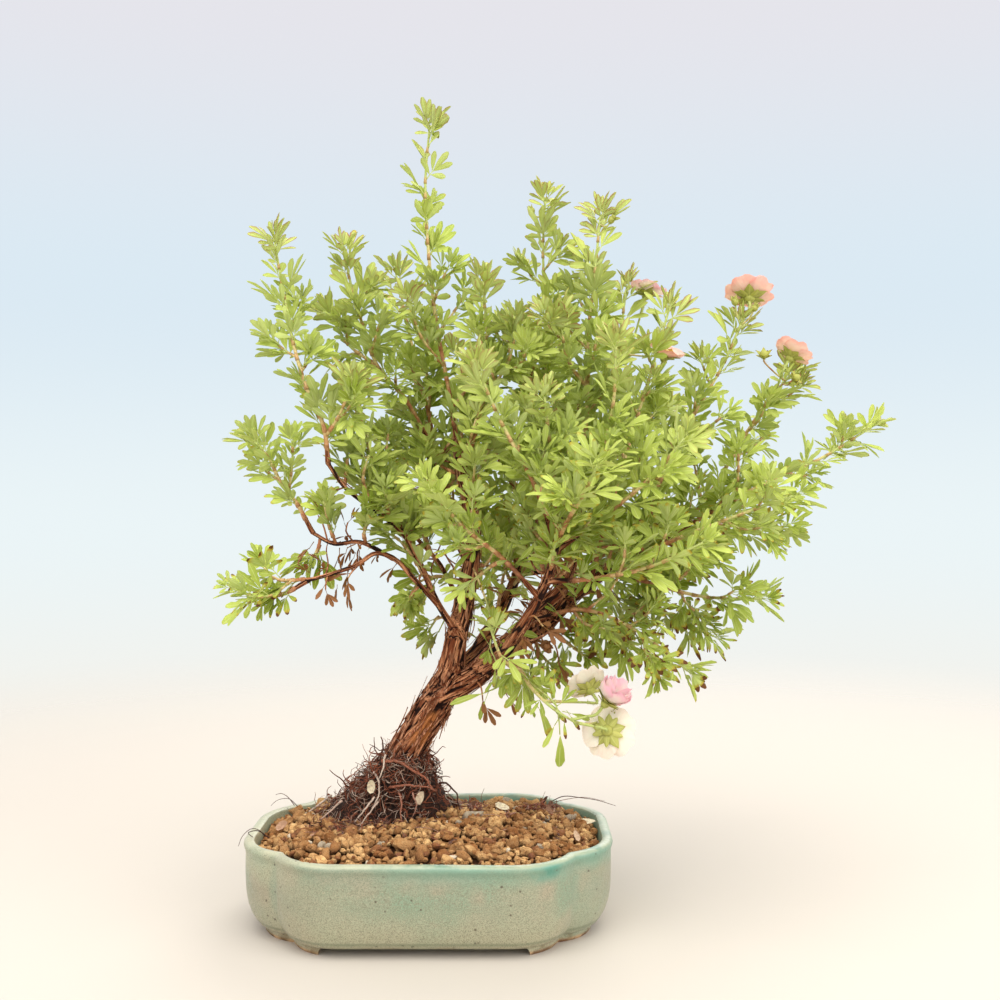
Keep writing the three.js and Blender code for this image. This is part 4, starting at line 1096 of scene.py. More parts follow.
# Root mound: the old root ball that stands above the soil, a heap of matted fine roots.
# Dark and reddish hair roots run down it and cross each other, pale ones are combed to the
# left, and a few stouter roots lie over the top and hang in air.
MOUND_RINGS = [
    (16, -18, 15, 25, 19), (26, -19, 16, 33, 24), (40, -20, 17, 34.5, 25.5),
    (47, -21, 17, 32, 23.5), (53, -19.5, 15.5, 26, 20.5), (60, -17.5, 12.5, 20, 17.5),
    (67, -15, 10, 16, 15), (73, -13.5, 8.5, 12, 11.8), (77, -12, 7.5, 9, 9),
]
MOUND_STEPS = 72
# Fine roots of each kind: how many, their radii, their lengths, and how pale they are.
FINE_ROOTS = [(430, (0.18, 0.5), (6, 15), 0), (360, (0.12, 0.26), (4, 12), 0),
              (260, (0.13, 0.28), (4, 12), 1)]
# Stouter roots that show in front: route, radius, tone and paleness.
STOUT_ROOTS = [
    ([(-23, -4, 74), (-15, -5, 74), (-9, -5.5, 70), (-2, -6, 66), (2, -5, 60)], 0.85, 0.8, 0.05),
    ([(-19, -6, 62), (-10, -8, 63.5), (-2, -8, 62.5), (3, -5, 60)], 0.7, 1, 0.05),
    ([(-27, -1, 68), (-24, -5, 64), (-24, -8, 58), (-27, -9, 53)], 0.55, 1, 0.7),
    ([(-21, -4, 77), (-22, -6, 71), (-24, -7, 66)], 0.5, 1, 0.8),
    ([(-26, -8, 58), (-30, -10, 53), (-35, -10, 47), (-38, -10, 43)], 0.5, 0.9, 0.75),
    ([(-24, -9, 56), (-29, -12, 50), (-32, -13, 46), (-34, -13, 42)], 0.42, 0.9, 0.65),
    ([(-42, 0, 54), (-47, -1, 50), (-52, -3, 46)], 0.6, 1, 0.5),
    ([(4, 2, 62), (8, 0, 62), (12, -1, 58), (14, -1, 50)], 0.55, 0.1, 0),
    ([(-25, 4, 71), (-31, 2, 71), (-36, 1, 67), (-42, 0, 62)], 0.28, 0.6, 0.2),
    ([(-30, 6, 70), (-31, 5, 76), (-33, 5, 80)], 0.2, 0.5, 0.2),
    ([(-24, 3, 74), (-23, 3, 80), (-24, 3, 84)], 0.55, 0.2, 0),
    ([(-22, 2, 73), (-20.5, 1, 79), (-20, 1, 81)], 0.8, 0.2, 0),
    ([(-15, -6, 60), (-13, -9, 55), (-14, -10, 50), (-12, -11, 45)], 0.5, 0.9, 0.1),
    ([(-8, -8, 60), (-6, -10, 55), (-8, -10, 49)], 0.4, 0.9, 0.2),
]


def mound_at(z):
    """Centre and half widths of the mound's oval at a height."""
    rings = MOUND_RINGS
    z = min(max(z, rings[0][0]), rings[-1][0])
    for low, high in zip(rings, rings[1:]):
        if z <= high[0]:
            share = (z - low[0]) / (high[0] - low[0])
            return [a + (b - a) * share for a, b in zip(low[1:], high[1:])]


def on_mound(angle, z, out):
    cx, cy, half_x, half_y = mound_at(z)
    return Vector((cx + (half_x + out) * math.cos(angle), cy + (half_y + out) * math.sin(angle), z))


mound_bm = bmesh.new()
root_of = mound_bm.verts.layers.float_color.new("root")
levels = [16 + (76.5 - 16) * step / 40 for step in range(41)]
rings = []
for z in levels:
    ring = []
    for step in range(MOUND_STEPS):
        angle = math.tau * step / MOUND_STEPS
        point = on_mound(angle, z, -1.5)
        point += (point - Vector((-18, 14, z))).normalized() * (
            2.0 * noise.noise(point / 6) + 1.6 * noise.noise(point / 2.1))
        ring.append(point)
    rings.append(ring)
skin_rings(mound_bm, rings)
for vert in mound_bm.verts:
    vert[root_of] = (0, 0.2, 0, 1)
draw = random.Random(41)
noise.seed_set(41)


def add_root(points, radii, sides, tone, pale):
    join_copy(mound_bm, tube_mesh(points, radii, sides), root=(1, tone, pale, 1))


for route, thick, tone, pale in STOUT_ROOTS:
    path = GrownPath(route)
    points = path.stretch(2)
    for index, point in enumerate(points[1:-1]):
        points[index + 1] = point + 0.8 * noise.noise_vector(point / 3)
    radii = [thick * (1 - 0.55 * step / (len(points) - 1)) for step in range(len(points))]
    add_root(points, radii, 7, tone, pale)
for count, widths, lengths, pale in FINE_ROOTS:
    for index in range(count):
        angle = draw.gauss(-2.1, 1.2) if pale else draw.uniform(0, math.tau)
        z = 44 + 33 * draw.random() ** 0.85
        start = on_mound(angle, z, draw.uniform(-0.9, 0.6))
        out = Vector((math.cos(angle), math.sin(angle), 0))
        around_mound = Vector((-out.y, out.x, 0))
        way = out * draw.uniform(-0.1, 0.5) + around_mound * draw.gauss(0, 0.9)
        way += Vector((0, 0, draw.gauss(-0.4, 0.75)))
        if pale:
            way += Vector((-0.2, 0, -0.1))
        way.normalize()
        point, points = start, [start]
        steps = 6
        length = draw.uniform(*lengths)
        loose = draw.random() < 0.14
        for step in range(steps):
            way += scatter(draw, 0.42, 0.4, -0.05)
            cx, cy, half_x, half_y = mound_at(point.z)
            inward = ((point.x - cx) / half_x) ** 2 + ((point.y - cy) / half_y) ** 2
            if inward < 1:
                way += out * 0.5
            elif inward > (1.5 if loose else 1.12):
                way -= out * 0.4
            way.normalize()
            point = point + way * length / steps
            if point.z < soil_height(point.x, point.y):
                point.z = soil_height(point.x, point.y)
            points.append(point)
        thick = draw.uniform(*widths)
        radii = [thick * (1 - 0.6 * step / steps) for step in range(steps + 1)]
        add_root(points, radii, 3, draw.random(), pale * draw.uniform(0.5, 1))

mound = stand_in_scene("root_mound_fibrous", to_mesh(mound_bm, "root_mound_fibrous"))
roots_finish, tree, shader = new_finish("matted_roots", 0.85)
spot = spot_in(tree)
marks = marks_of(tree, "root")
ground = tint(mottle(spot, 900, 0.4, 0.7, 4), sRGB(38, 24, 18), sRGB(92, 60, 42))
brown = tint(grade(marks["Green"], 0.0, 0.75), sRGB(58, 35, 26), sRGB(168, 94, 64))
brown = tint(mottle(spot, 1300, 0.45, 0.7), brown, sRGB(92, 58, 42))
tone = tint(marks["Red"], ground, brown)
silver = tint(marks["Green"], sRGB(206, 166, 140), sRGB(238, 220, 198))
tone = tint(marks["Blue"], tone, silver)
link(tone, shader, "Base Color")
relief(shader, mottle(spot, 2000, 0.25, 0.8, 4), 0.0005, 0.9)
shader.inputs["Specular IOR Level"].default_value = 0.35
mound.data.materials.append(roots_finish)
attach(mound, "root")
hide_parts("root_mound")

# Sprays: the leafy shoots. Each is a slim stem, red-brown at its foot and green at its tip,
# with a papery sheath at every joint, leaves of three to seven narrow leaflets, and short
# side shoots. The leaflets are thin closed blades, folded a little along the midrib.
BLADE_STATIONS = [(0, 0), (0.42, 0.74), (0.8, 1), (1, 0.5)]
BLADE_THICKNESS = 0.3
SHARP_RIM = math.radians(75)
LEAF_STALK = 5.6
LEAFLET_LENGTH = 13.2
LEAFLET_WIDTH = 3.75
# For each kind of leaf: its leaflets' turn from the midline, length share, and how far
# back along the stalk each one starts.
LEAF_KINDS = {
    "one": [(0, 1.05, 0)],
    "three": [(0, 1, 0), (46, 0.92, 0.6), (-44, 0.9, 0.8)],
    "five": [(0, 1, 0), (36, 0.96, 0.5), (-38, 0.94, 0.6), (76, 0.76, 2.6), (-73, 0.74, 2.9)],
    "seven": [(0, 1, 0), (30, 0.98, 0.3), (-30, 0.95, 0.4), (60, 0.84, 1.8), (-62, 0.82, 2),
              (92, 0.6, 3.6), (-90, 0.58, 3.8)],
}
KIND_TALLY = {"one": 4, "three": 5, "five": 9, "seven": 4}
NODE_PITCH = 7.6
SIDE_PITCH = 5.6
TIP_RADIUS = 0.5
SIDE_SHARE = 0.68
BOX_GROWTH = 3.5
STEM_MARK = 2


def close_sheet(bm, thickness, material):
    """Gives an open sheet an underside that meets it at the rim."""
    made = bmesh.ops.duplicate(bm, geom=bm.verts[:] + bm.edges[:] + bm.faces[:])["geom"]
    below = [item for item in made if isinstance(item, bmesh.types.BMFace)]
    for vert in {vert for face in below for vert in face.verts}:
        if not vert.is_boundary:
            vert.co -= vert.normal * thickness
    bmesh.ops.reverse_faces(bm, faces=below)
    for face in below:
        face.material_index = material
    bmesh.ops.remove_doubles(bm, verts=bm.verts, dist=1e-4)
    for edge in bm.edges:
        edge.smooth = edge.calc_face_angle(0) < SHARP_RIM


def blade_mesh(length, width, droop, fold, twist, stations=BLADE_STATIONS):
    """One leaflet along +X from its base, closed above and below, with its edges drawn thin."""
    bm = bmesh.new()
    tissue = bm.verts.layers.float_color.new("tissue")
    rows = len(stations) - 1
    bmesh.ops.create_grid(bm, x_segments=2, y_segments=rows, size=0.5)
    for vert in bm.verts:
        share, half = stations[round((vert.co.y + 0.5) * rows)]
        across = round(vert.co.x * 2)
        out = across * half * width / 2
        turn = twist * share
        up = fold * abs(out) - droop * length * share ** 2 + math.sin(turn) * out
        vert[tissue] = (share, abs(across), 0, 0)
        share += 0.05 * (share == 1 and not across)
        vert.co = (length * (share - 0.06 * droop * share ** 3), -out * math.cos(turn), up)
    bmesh.ops.remove_doubles(bm, verts=bm.verts, dist=1e-4)
    if sum(face.normal.z for face in bm.faces) < 0:
        bmesh.ops.reverse_faces(bm, faces=bm.faces)
    close_sheet(bm, BLADE_THICKNESS, 1)
    return keep_mesh(bm, "blade")


def leaf_mesh(kind, draw):
    """One whole leaf along +X from the stem's middle, upper side up."""
    bm = bmesh.new()
    tissue = bm.verts.layers.float_color.new("tissue")
    spread = draw.uniform(0.62, 1.0)
    stalk = LEAF_STALK * draw.uniform(0.8, 1.3)
    path = [Vector((x, 0, -0.05 * x * x / stalk)) for x in (0, stalk * 0.5, stalk)]
    skin_rings(bm, tube_rings(path, [0.42, 0.3, 0.3], 3))
    for vert in bm.verts:
        vert[tissue] = (0, 0.06, 0, 0)
    for turn, size, back in LEAF_KINDS[kind]:
        length = LEAFLET_LENGTH * size * draw.uniform(0.9, 1.08)
        width = LEAFLET_WIDTH * draw.uniform(0.86, 1.1) * (0.72 + 0.28 * size)
        blade = blade_mesh(length, width, draw.uniform(-0.06, 0.26), draw.uniform(0.12, 0.5),
                           draw.uniform(-0.35, 0.35))
        swing = math.radians(turn * spread + draw.uniform(-6, 6))
        place = Matrix.Translation((stalk - back, 0, 0)) @ Matrix.Rotation(swing, 4, "Z")
        place = place @ Matrix.Rotation(draw.uniform(-0.25, 0.2), 4, "Y")
        place = place @ Matrix.Rotation(draw.uniform(-0.3, 0.3), 4, "X")
        join_copy(bm, blade, place)
    return keep_mesh(bm, "leaf")


draw = random.Random(5)
leaf_shapes = {kind: [leaf_mesh(kind, draw) for _ in range(tally)] for kind, tally in KIND_TALLY.items()}
cad_low = [(value - foot) / MM - BOX_GROWTH for value, foot in zip(cad_box[0], pot_foot)]
cad_high = [(value - foot) / MM + BOX_GROWTH for value, foot in zip(cad_box[1], pot_foot)]


def in_box(point):
    return all(low < value < high for value, low, high in zip(point, cad_low, cad_high))


def around(ahead, angle):
    """A direction square to a stem, turned about it."""
    across = Vector((0.2, 0.1, 1)).cross(ahead)
    if across.length < 0.15:
        across = Vector((1, 0, 0))
    return (Matrix.Rotation(angle, 3, ahead) @ across.normalized()).normalized()


def leaf_age(at, share, draw):
    """How worn and how young a leaf is, by its height and its share of the shoot."""
    low = min(1, max(0, (215 - at.z) / 90))
    wear = draw.random() ** (4 - 2.6 * low) * (0.25 + 0.7 * low)
    youth = max(0, share - 0.55) / 0.45 * min(1, max(0, (at.z - 190) / 60))
    return wear, youth * draw.uniform(0.4, 1)


class Spray:
    """One leafy shoot as it is put together."""

    def __init__(self, seed, leaf_size=1):
        self.draw = random.Random(seed)
        self.bm = bmesh.new()
        self.tissue = self.bm.verts.layers.float_color.new("tissue")
        self.bm.verts.layers.float.new("shade")
        self.leaf_size = leaf_size

    def add_stem(self, points, foot, tip, tone_from, tone_to, sides=6, sheath=0):
        """A stem through some places, its tone running from woody 0 to green 1."""
        steps = len(points) - 1
        radii = [foot + (tip - foot) * index / steps for index in range(steps + 1)]
        part = tube_mesh(points, radii, sides, STEM_MARK)
        for index, vert in enumerate(join_copy(self.bm, part, shade=0.5)):
            tone = tone_from + (tone_to - tone_from) * min(1, index // sides / steps)
            vert[self.tissue] = (tone, sheath, 0, 0)

    def add_leaf(self, at, ahead, out, lift, size, kind, share):
        """A leaf at a joint, turned so that its upper side sees the light."""
        draw = self.draw
        axis = (out * math.cos(lift) + ahead * math.sin(lift)).normalized()
        light = ahead * 0.5 + Vector((0, -0.3, 0.7))
        light += scatter(draw, 0.38, 0.3)
        normal = light - axis * light.dot(axis)
        if normal.length < 0.2:
            normal = ahead - axis * ahead.dot(axis)
        normal.normalize()
        place = Matrix((axis, normal.cross(axis), normal)).transposed().to_4x4()
        place = Matrix.Translation(at) @ place @ Matrix.Scale(size * self.leaf_size, 4)
        if not in_box(place @ Vector((LEAF_STALK + LEAFLET_LENGTH, 0, 0))):
            return
        wear, youth = leaf_age(at, share, draw)
        # Painted shade: leaves deep in a shoot and those below 185 mm get a darker mean tone; the spread
        # about it is random.
        shade = min(1, max(0, draw.gauss(0.42 + 0.42 * share - 0.16 * (at.z < 185), 0.22)))
        for vert in join_copy(self.bm, draw.choice(leaf_shapes[kind]), place, shade=shade):
            vert[self.tissue] = (*vert[self.tissue][:2], wear, youth)

    def add_joint(self, at, ahead, angle, radius, tone, size, share, small):
        """A joint: its papery sheath, its leaf, and small leaves from the bud beside it."""
        draw = self.draw
        if share < 1:
            sheath = [at - ahead * 1.3, at + ahead * 0.6, at + ahead * 2.2]
            self.add_stem(sheath, radius + 0.3, radius, tone, tone, 5, 1)
        kind = draw.choices(("three", "five", "seven"), (3, 6, 2))[0]
        hang = min(1, max(0, (165 - at.z) / 25))
        out = (around(ahead, angle) + Vector((0, 0, -0.9 * hang))).normalized()
        self.add_leaf(at, ahead, out, draw.uniform(0.6, 1.15) * (1 - 0.7 * hang),
                      size * draw.uniform(0.7, 1.2), kind, share)
        for _ in range(small):
            out = around(ahead, angle + draw.uniform(-1.1, 1.1))
            kind = draw.choices(("three", "five"), (5, 4))[0]
            self.add_leaf(at, ahead, out, draw.uniform(0.7, 1.25),
                          size * draw.uniform(0.5, 0.82), kind, share)

    def add_tip(self, at, ahead, size, share, count=7):
        """The upright young leaves at the end of a shoot, smaller toward the bud."""
        draw = self.draw
        for index in range(count):
            kind = "five" if index < 3 else "three"
            foot = at - ahead * max(0, 6 - 1.6 * index)
            lift = 0.7 + 0.75 * index / count + draw.uniform(-0.15, 0.15)
            self.add_leaf(foot, ahead, around(ahead, index * 2.4 + draw.uniform(-0.3, 0.3)), lift,
                          size * (0.98 - 0.56 * index / count), kind, share)

    def add_side_shoot(self, at, ahead, out, length, radius, tone, share):
        """A short shoot from a joint, bending up to the light."""
        draw = self.draw
        way = (out * 0.8 + ahead * 0.6 + Vector((0, 0, 0.15))).normalized()
        bend = (way + Vector((draw.gauss(0, 0.15), draw.gauss(0, 0.15), 0.45))).normalized()
        middle = at + way * length * 0.5
        end = middle + bend * length * 0.5
        if not in_box(end + bend * 8):
            return
        path = GrownPath([at, middle, end])
        self.add_stem(path.stretch(4), radius * 0.8, TIP_RADIUS * 0.85, tone, min(1, tone + 0.5), 5)
        count = max(1, round((path.length - 4) / SIDE_PITCH))
        for index in range(count):
            place, grow = path.at(4 + index * SIDE_PITCH)
            self.add_joint(place, grow, draw.uniform(0, math.tau), radius * 0.6, tone + 0.2, 0.86,
                           share, draw.choice((0, 0, 1)))
        self.add_tip(path.points[-1], bend, 0.86, min(1, share + 0.15), 5)

    def dress(self, path, start, end, radius, tone, pitch=NODE_PITCH, share_from=0.0,
              side_share=SIDE_SHARE, tuft=7, small=1):
        """Joints along a stem, with side shoots from some, and the tuft at its end."""
        draw = self.draw
        count = max(2, round((end - start) / pitch))
        angle = draw.uniform(0, math.tau)
        for index in range(count):
            share = share_from + (1 - share_from) * index / count
            at, ahead = path.at(start + (end - start - 4) * index / count)
            local = radius + (TIP_RADIUS - radius) * index / count
            shade = tone + (1 - tone) * index / count
            angle += 2.4
            self.add_joint(at, ahead, angle, local, shade, 1, share,
                draw.choice((0, 0, 0, 1, 1, 2)) * small)
            done = index / count
            if 0.05 < done < 0.9 and draw.random() < side_share * min(1, 1.6 - 1.5 * done):
                out = around(ahead, angle + draw.uniform(-0.5, 0.5))
                self.add_side_shoot(at, ahead, out, draw.uniform(14, 34) * (1 - 0.5 * done), local,
                                    shade, share)
        if tuft:
            self.add_tip(path.points[-1], path.at(path.length)[1], 0.98, 1, tuft)


leaf_upper, tree, shader = new_finish("leaf_upper", 0.5)
leaf_lower, _, shader_lower = new_finish("leaf_underside", 0.62)


def leaf_tissue_group():
    """Colour of a leaflet from its marks: dark to light tone with painted shade, midrib, margin, young
    red edge, yellow and dead tip.
    """
    group = bpy.data.node_groups.new("leaf_tissue", "ShaderNodeTree")
    for name in ("Dark", "Light", "Rib"):
        group.interface.new_socket(name, in_out="INPUT", socket_type="NodeSocketColor")
    group.interface.new_socket("Color", in_out="OUTPUT", socket_type="NodeSocketColor")
    group.interface.new_socket("Height", in_out="OUTPUT", socket_type="NodeSocketFloat")
    start = group.nodes.new("NodeGroupInput").outputs
    end = group.nodes.new("NodeGroupOutput").inputs
    marks = put(group, "Attribute", {"attribute_name": "tissue"})
    marks_axes = put(group, "SeparateColor", Color=marks.outputs["Color"]).outputs
    along, across, wear = marks_axes["Red"], marks_axes["Green"], marks_axes["Blue"]
    youth = marks.outputs["Alpha"]
    shade = put(group, "Attribute", {"attribute_name": "shade"}).outputs["Fac"]
    spot = spot_in(group)
    blotch = mottle(spot, 90, 0.3, 0.7)
    # The shade mark picks between dark and light; it carries painted shade for inner and low leaves.
    tone = tint(plus(times(shade, 0.75), times(blotch, 0.3)), start["Dark"], start["Light"])
    fresh = times(youth, 0.5)
    tone = tint(fresh, tone, sRGB(198, 206, 132))
    tone = tint(grade(across, 0.16, 0.03), tone, start["Rib"], 0.7)
    edge = times(grade(across, 0.80, 1.0), 0.35)
    tone = tint(edge, tone, sRGB(196, 200, 120))
    red = times(times(youth, youth), grade(plus(across, times(along, 0.6)), 0.8, 1.4))
    tone = tint(red, tone, sRGB(178, 112, 86), 0.9)
    ragged = times(mottle(spot, 420, 0.3, 0.7), 0.12)
    front = sums("SUBTRACT", plus(along, ragged), sums("SUBTRACT", 1.22, times(wear, 0.52)))
    tone = tint(grade(front, -0.16, 0.0), tone, sRGB(206, 190, 74))
    tone = tint(grade(front, 0.0, 0.07), tone, sRGB(134, 88, 52))
    tone = tint(grade(wear, 0.93, 0.97), tone, sRGB(168, 116, 70))
    group.links.new(tone, end["Color"])
    veins = put(group, "TexNoise", Vector=spot, Scale=500.0, Detail=2.0)
    group.links.new(plus(times(veins.outputs[0], 0.5), grade(across, 0.0, 0.25)), end["Height"])
    return group


LEAF_TISSUE = leaf_tissue_group()


def let_light_through(shader, colour, share):
    """Mixes some light that comes through the tissue with what the shader gives."""
    tree = shader.id_data
    through = put(tree, "BsdfTranslucent", Color=colour)
    both = put(tree, "MixShader")
    for socket, value in zip(both.inputs, (share, shader.outputs[0], through.outputs[0])):
        feed(socket, value)
    tree.links.new(both.outputs[0], tree.nodes["Material Output"].inputs["Surface"])


def leaf_skin(shader, dark, light, rib, glow):
    """Wires the leaf colours to the shader, with some light let through the blade."""
    tissue = shader.id_data.nodes.new("ShaderNodeGroup")
    tissue.node_tree = LEAF_TISSUE
    for name, value in (("Dark", dark), ("Light", light), ("Rib", rib)):
        feed(tissue.inputs[name], value)
    link(tissue.outputs["Color"], shader, "Base Color")
    relief(shader, tissue.outputs["Height"], 0.0001, 0.5)
    let_light_through(shader, tissue.outputs["Color"], glow)


leaf_skin(shader, sRGB(143, 162, 36), sRGB(226, 236, 126), sRGB(230, 236, 160), 0.4)
leaf_skin(shader_lower, sRGB(184, 197, 108), sRGB(224, 233, 152), sRGB(230, 236, 170), 0.4)
shader.inputs["Specular IOR Level"].default_value = 0.3
shader_lower.inputs["Specular IOR Level"].default_value = 0.15

stem_skin, tree, shader = new_finish("shoot_skin", 0.6)
spot = spot_in(tree)
marks = marks_of(tree, "tissue")
age = plus(marks["Red"], times(sums("SUBTRACT", mottle(spot, 120, 0.3, 0.7), 0.5), 0.3))
tone = tint(grade(age, 0.0, 0.26), sRGB(112, 66, 44), sRGB(182, 116, 72))
tone = tint(grade(age, 0.24, 0.5), tone, sRGB(214, 190, 128))
tone = tint(grade(age, 0.55, 0.85), tone, sRGB(178, 188, 104))
tone = tint(mottle(spot, 700, 0.55, 0.7), tone, sRGB(126, 78, 50), 0.5)
papery = tint(mottle(spot, 500, 0.4, 0.6), sRGB(208, 152, 104), sRGB(166, 104, 64))
tone = tint(marks["Green"], tone, papery, 0.65)
link(tone, shader, "Base Color")
relief(shader, mottle(spot, 900, 0.3, 0.7), 0.0002, 0.5)

sprays = {}
side_paths = {}
for index, (name, (limb, at, _)) in enumerate(SHOOTS.items()):
    habit = HABITS.get(name, {})
    spray = Spray(300 + index, habit.get("leaf_size", 1))
    path, woody = shoot_paths[name]
    foot_tone = 0.1 if at < 1 else 0.2
    spray.add_stem(path.stretch(4, woody - 3), SHOOT_RADIUS, TIP_RADIUS, foot_tone, 1, 7)
    first = max(woody + 1, path.length * habit.get("bare", 0))
    spray.dress(path, first, path.length * habit.get("leafy", 1), SHOOT_RADIUS, foot_tone,
                side_share=habit.get("side_share", SIDE_SHARE),
                tuft=0 if "leafy" in habit else 7, small=not {"leafy", "side_share"} & set(habit))
    for share, route, ending in SIDE_SHOOTS.get(name, []):
        branch = GrownPath([path.at(share * path.length)[0]] + route)
        side_tone = (foot_tone + (1 - foot_tone) * share) * 0.8
        spray.add_stem(branch.stretch(3), SHOOT_RADIUS * 0.8, TIP_RADIUS, side_tone, 1)
        if ending not in ("leafy", "sparse"):
            side_paths[ending] = branch
        else:
            sparse = "leafy" in habit or ending == "sparse"
            spray.dress(branch, 5, branch.length, SHOOT_RADIUS * 0.8, side_tone,
                        pitch=NODE_PITCH * (1.5 if sparse else 1), share_from=share * 0.6,
                        side_share=0 if sparse else SIDE_SHARE, tuft=3 if sparse else 7,
                        small=not sparse)
    sprays[name] = spray

for name, spray in sprays.items():
    leafy = stand_in_scene(f"{name}_leafy", to_mesh(spray.bm, f"{name}_leafy"))
    for finish in (leaf_upper, leaf_lower, stem_skin):
        leafy.data.materials.append(finish)
    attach(leafy, "root")
    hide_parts(name)
# Blooms: which way each faces, how far its pedicel reaches, its petal colour and opening.
Bloom = namedtuple("Bloom", "facing reach colour scale cup")
BLOOMS = {
    "cream_upper": Bloom((-0.35, 0.7, 0.6), 8, "cream", 0.9, 0.9),
    "pink_cup": Bloom((0.6, -0.15, 0.75), 6, "pink", 0.85, 1.9),
    "cream_lower": Bloom((0.25, 0.88, -0.3), 7, "cream", 1.05, 0.8),
    "tall": Bloom((0.12, 0.55, 0.82), 7, "salmon", 1.05, 0.7),
    "inner": Bloom((0.3, -0.3, 0.9), 7, "salmon", 0.85, 0.9),
    "right": Bloom((0.5, 0.3, 0.8), 7, "salmon", 0.9, 0.9),
    "high": Bloom((0.3, 0.2, 0.95), 7, "pink", 0.85, 0.9),
}

# Flowers: seven blooms of thin, crinkled petals over a leafy calyx, each on a short hairy
# stalk past the end of its side shoot. The salmon, pink and cream petals are one thickness of
# soft tissue; the calyx has five broad sepals and five narrow bracts between them.
PETAL_REACH = 12.3
PETAL_LIFT = 4.2
PETAL_SHEET = 0.3
SEPAL_REACH = 8.2
STALK_RADIUS = 0.7
CUP_DEPTH = 1.6
PETAL_SEAT = 1.65
STAMEN_COUNT = 26
HAIR_COUNT = 70
SEPAL_STATIONS = [(0, 0), (0.12, 0.9), (0.34, 1), (0.62, 0.7), (0.86, 0.3), (1, 0)]
BRACT_STATIONS = [(0, 0), (0.15, 0.8), (0.5, 1), (0.75, 0.85), (0.92, 0.5), (1, 0)]
# Petal rings from the outside in: how many, and their size.
PETAL_RINGS = {"pink_cup": [(5, 1), (4, 0.84), (3, 0.66)], "tall": [(5, 1), (4, 0.8)],
               "cream_lower": [(5, 1), (3, 0.86)]}


def petal_mesh(bloom, size, draw):
    """One petal along +X on the bloom's bowl: narrow foot, broad crinkled rim."""
    bm = bmesh.new()
    marks = bm.verts.layers.float_color.new("petal")
    bmesh.ops.create_grid(bm, x_segments=10, y_segments=6, size=0.5)
    full = PETAL_REACH * bloom.scale * size
    seed = draw.random()
    frill = [draw.uniform(0.5, 1.1) for _ in range(3)]
    phase = [draw.uniform(0, math.tau) for _ in range(3)]
    for vert in bm.verts:
        along, across = vert.co.y + 0.5, vert.co.x * 2
        half = 0.22 + 0.72 * math.sin(min(1, along * 1.2) * math.pi / 2)
        rim = 1 - 0.34 * abs(across) ** 2.4 * along - 0.07 * math.exp(-(across / 0.16) ** 2) * along
        reach = along * (rim + 0.025 * math.sin(9 * across + phase[0]))
        wave = sum(frill[i] * math.sin((3 + 2.6 * i) * across + phase[i]) for i in range(3))
        turn = across * half
        radius = full * reach / math.sqrt(1 + (bloom.cup * reach * 0.45) ** 2)
        rise = PETAL_LIFT * bloom.cup * bloom.scale * reach ** 1.6 * (1.9 - 0.9 * size)
        rise += 0.45 * wave * along ** 3 + 0.9 * across * along
        if size < 1:
            rise += 0.66 * (1 - size) * full * reach ** 2
        vert[marks] = (along, 0.5 + across / 2, seed, size)
        vert.co = (radius * math.cos(turn), radius * math.sin(turn), rise)
    bmesh.ops.remove_doubles(bm, verts=bm.verts, dist=1e-3)
    if sum(face.normal.z for face in bm.faces) < 0:
        bmesh.ops.reverse_faces(bm, faces=bm.faces)
    close_sheet(bm, PETAL_SHEET, 0)
    return keep_mesh(bm, "petal")


def add_star(bm, place, scale, lift, draw, wear=0.0, young=0.3):
    """Five broad sepals and five narrow bracts about an axis."""
    tissue = bm.verts.layers.float_color["tissue"]
    for index in range(10):
        broad = index % 2 == 0
        length = SEPAL_REACH * scale * (1.0 if broad else 0.86) * draw.uniform(0.94, 1.05)
        blade = blade_mesh(length, 5.6 * scale if broad else 2.5 * scale,
                           draw.uniform(-0.2, 0.0), 0.25, draw.uniform(-0.2, 0.2),
                           SEPAL_STATIONS if broad else BRACT_STATIONS)
        turn = Matrix.Rotation(math.tau * (index + 0.5) / 10, 4, "Z")
        tilt = Matrix.Rotation(-lift - draw.uniform(-0.1, 0.1) + (0 if broad else 0.12), 4, "Y")
        level = Matrix.Translation((0, 0, 0.15 if broad else -0.35))
        value = min(1, max(0, draw.gauss(0.55, 0.2)))
        for vert in join_copy(bm, blade, place @ turn @ level @ tilt, shade=value):
            vert[tissue] = (*vert[tissue][:2], wear, young)


def add_stalk(bm, points, radius, tone, sides=6):
    """A green stalk with the marks that the stem skin reads."""
    stalk = tube_mesh(points, [radius] * len(points), sides, STEM_MARK)
    join_copy(bm, stalk, tissue=(tone, 0, 0, 0), shade=0.5)


def add_hairs(bm, points, radius, count, draw):
    """Fine soft hairs that stand off a stalk."""
    path = GrownPath(points)
    for _ in range(count):
        at, ahead = path.at(draw.uniform(0, path.length))
        out = around(ahead, draw.uniform(0, math.tau))
        tip = at + out * (radius + draw.uniform(0.7, 1.3)) + ahead * draw.uniform(-0.3, 0.5)
        hair = tube_mesh([at + out * radius * 0.7, tip], [0.06, 0.02], 3, STEM_MARK)
        join_copy(bm, hair, tissue=(1, 0, 0, 0), shade=1)


calyx_face, tree, shader = new_finish("calyx_face", 0.55)
leaf_skin(shader, sRGB(168, 172, 66), sRGB(222, 218, 116), sRGB(226, 222, 142), 0.3)
calyx_back, tree, shader = new_finish("calyx_back", 0.6)
leaf_skin(shader, sRGB(164, 168, 64), sRGB(218, 214, 112), sRGB(222, 218, 136), 0.3)

stamen_skin, tree, shader = new_finish("stamen_skin", 0.6)
part_of = marks_of(tree, "stamen")
spot = spot_in(tree)
tone = tint(part_of["Red"], sRGB(236, 214, 120), sRGB(206, 150, 48))
tone = tint(mottle(spot, 900, 0.4, 0.65), tone, sRGB(176, 148, 60), 0.6)
link(tone, shader, "Base Color")
relief(shader, mottle(spot, 1600, 0.35, 0.65), 0.0003, 0.7)


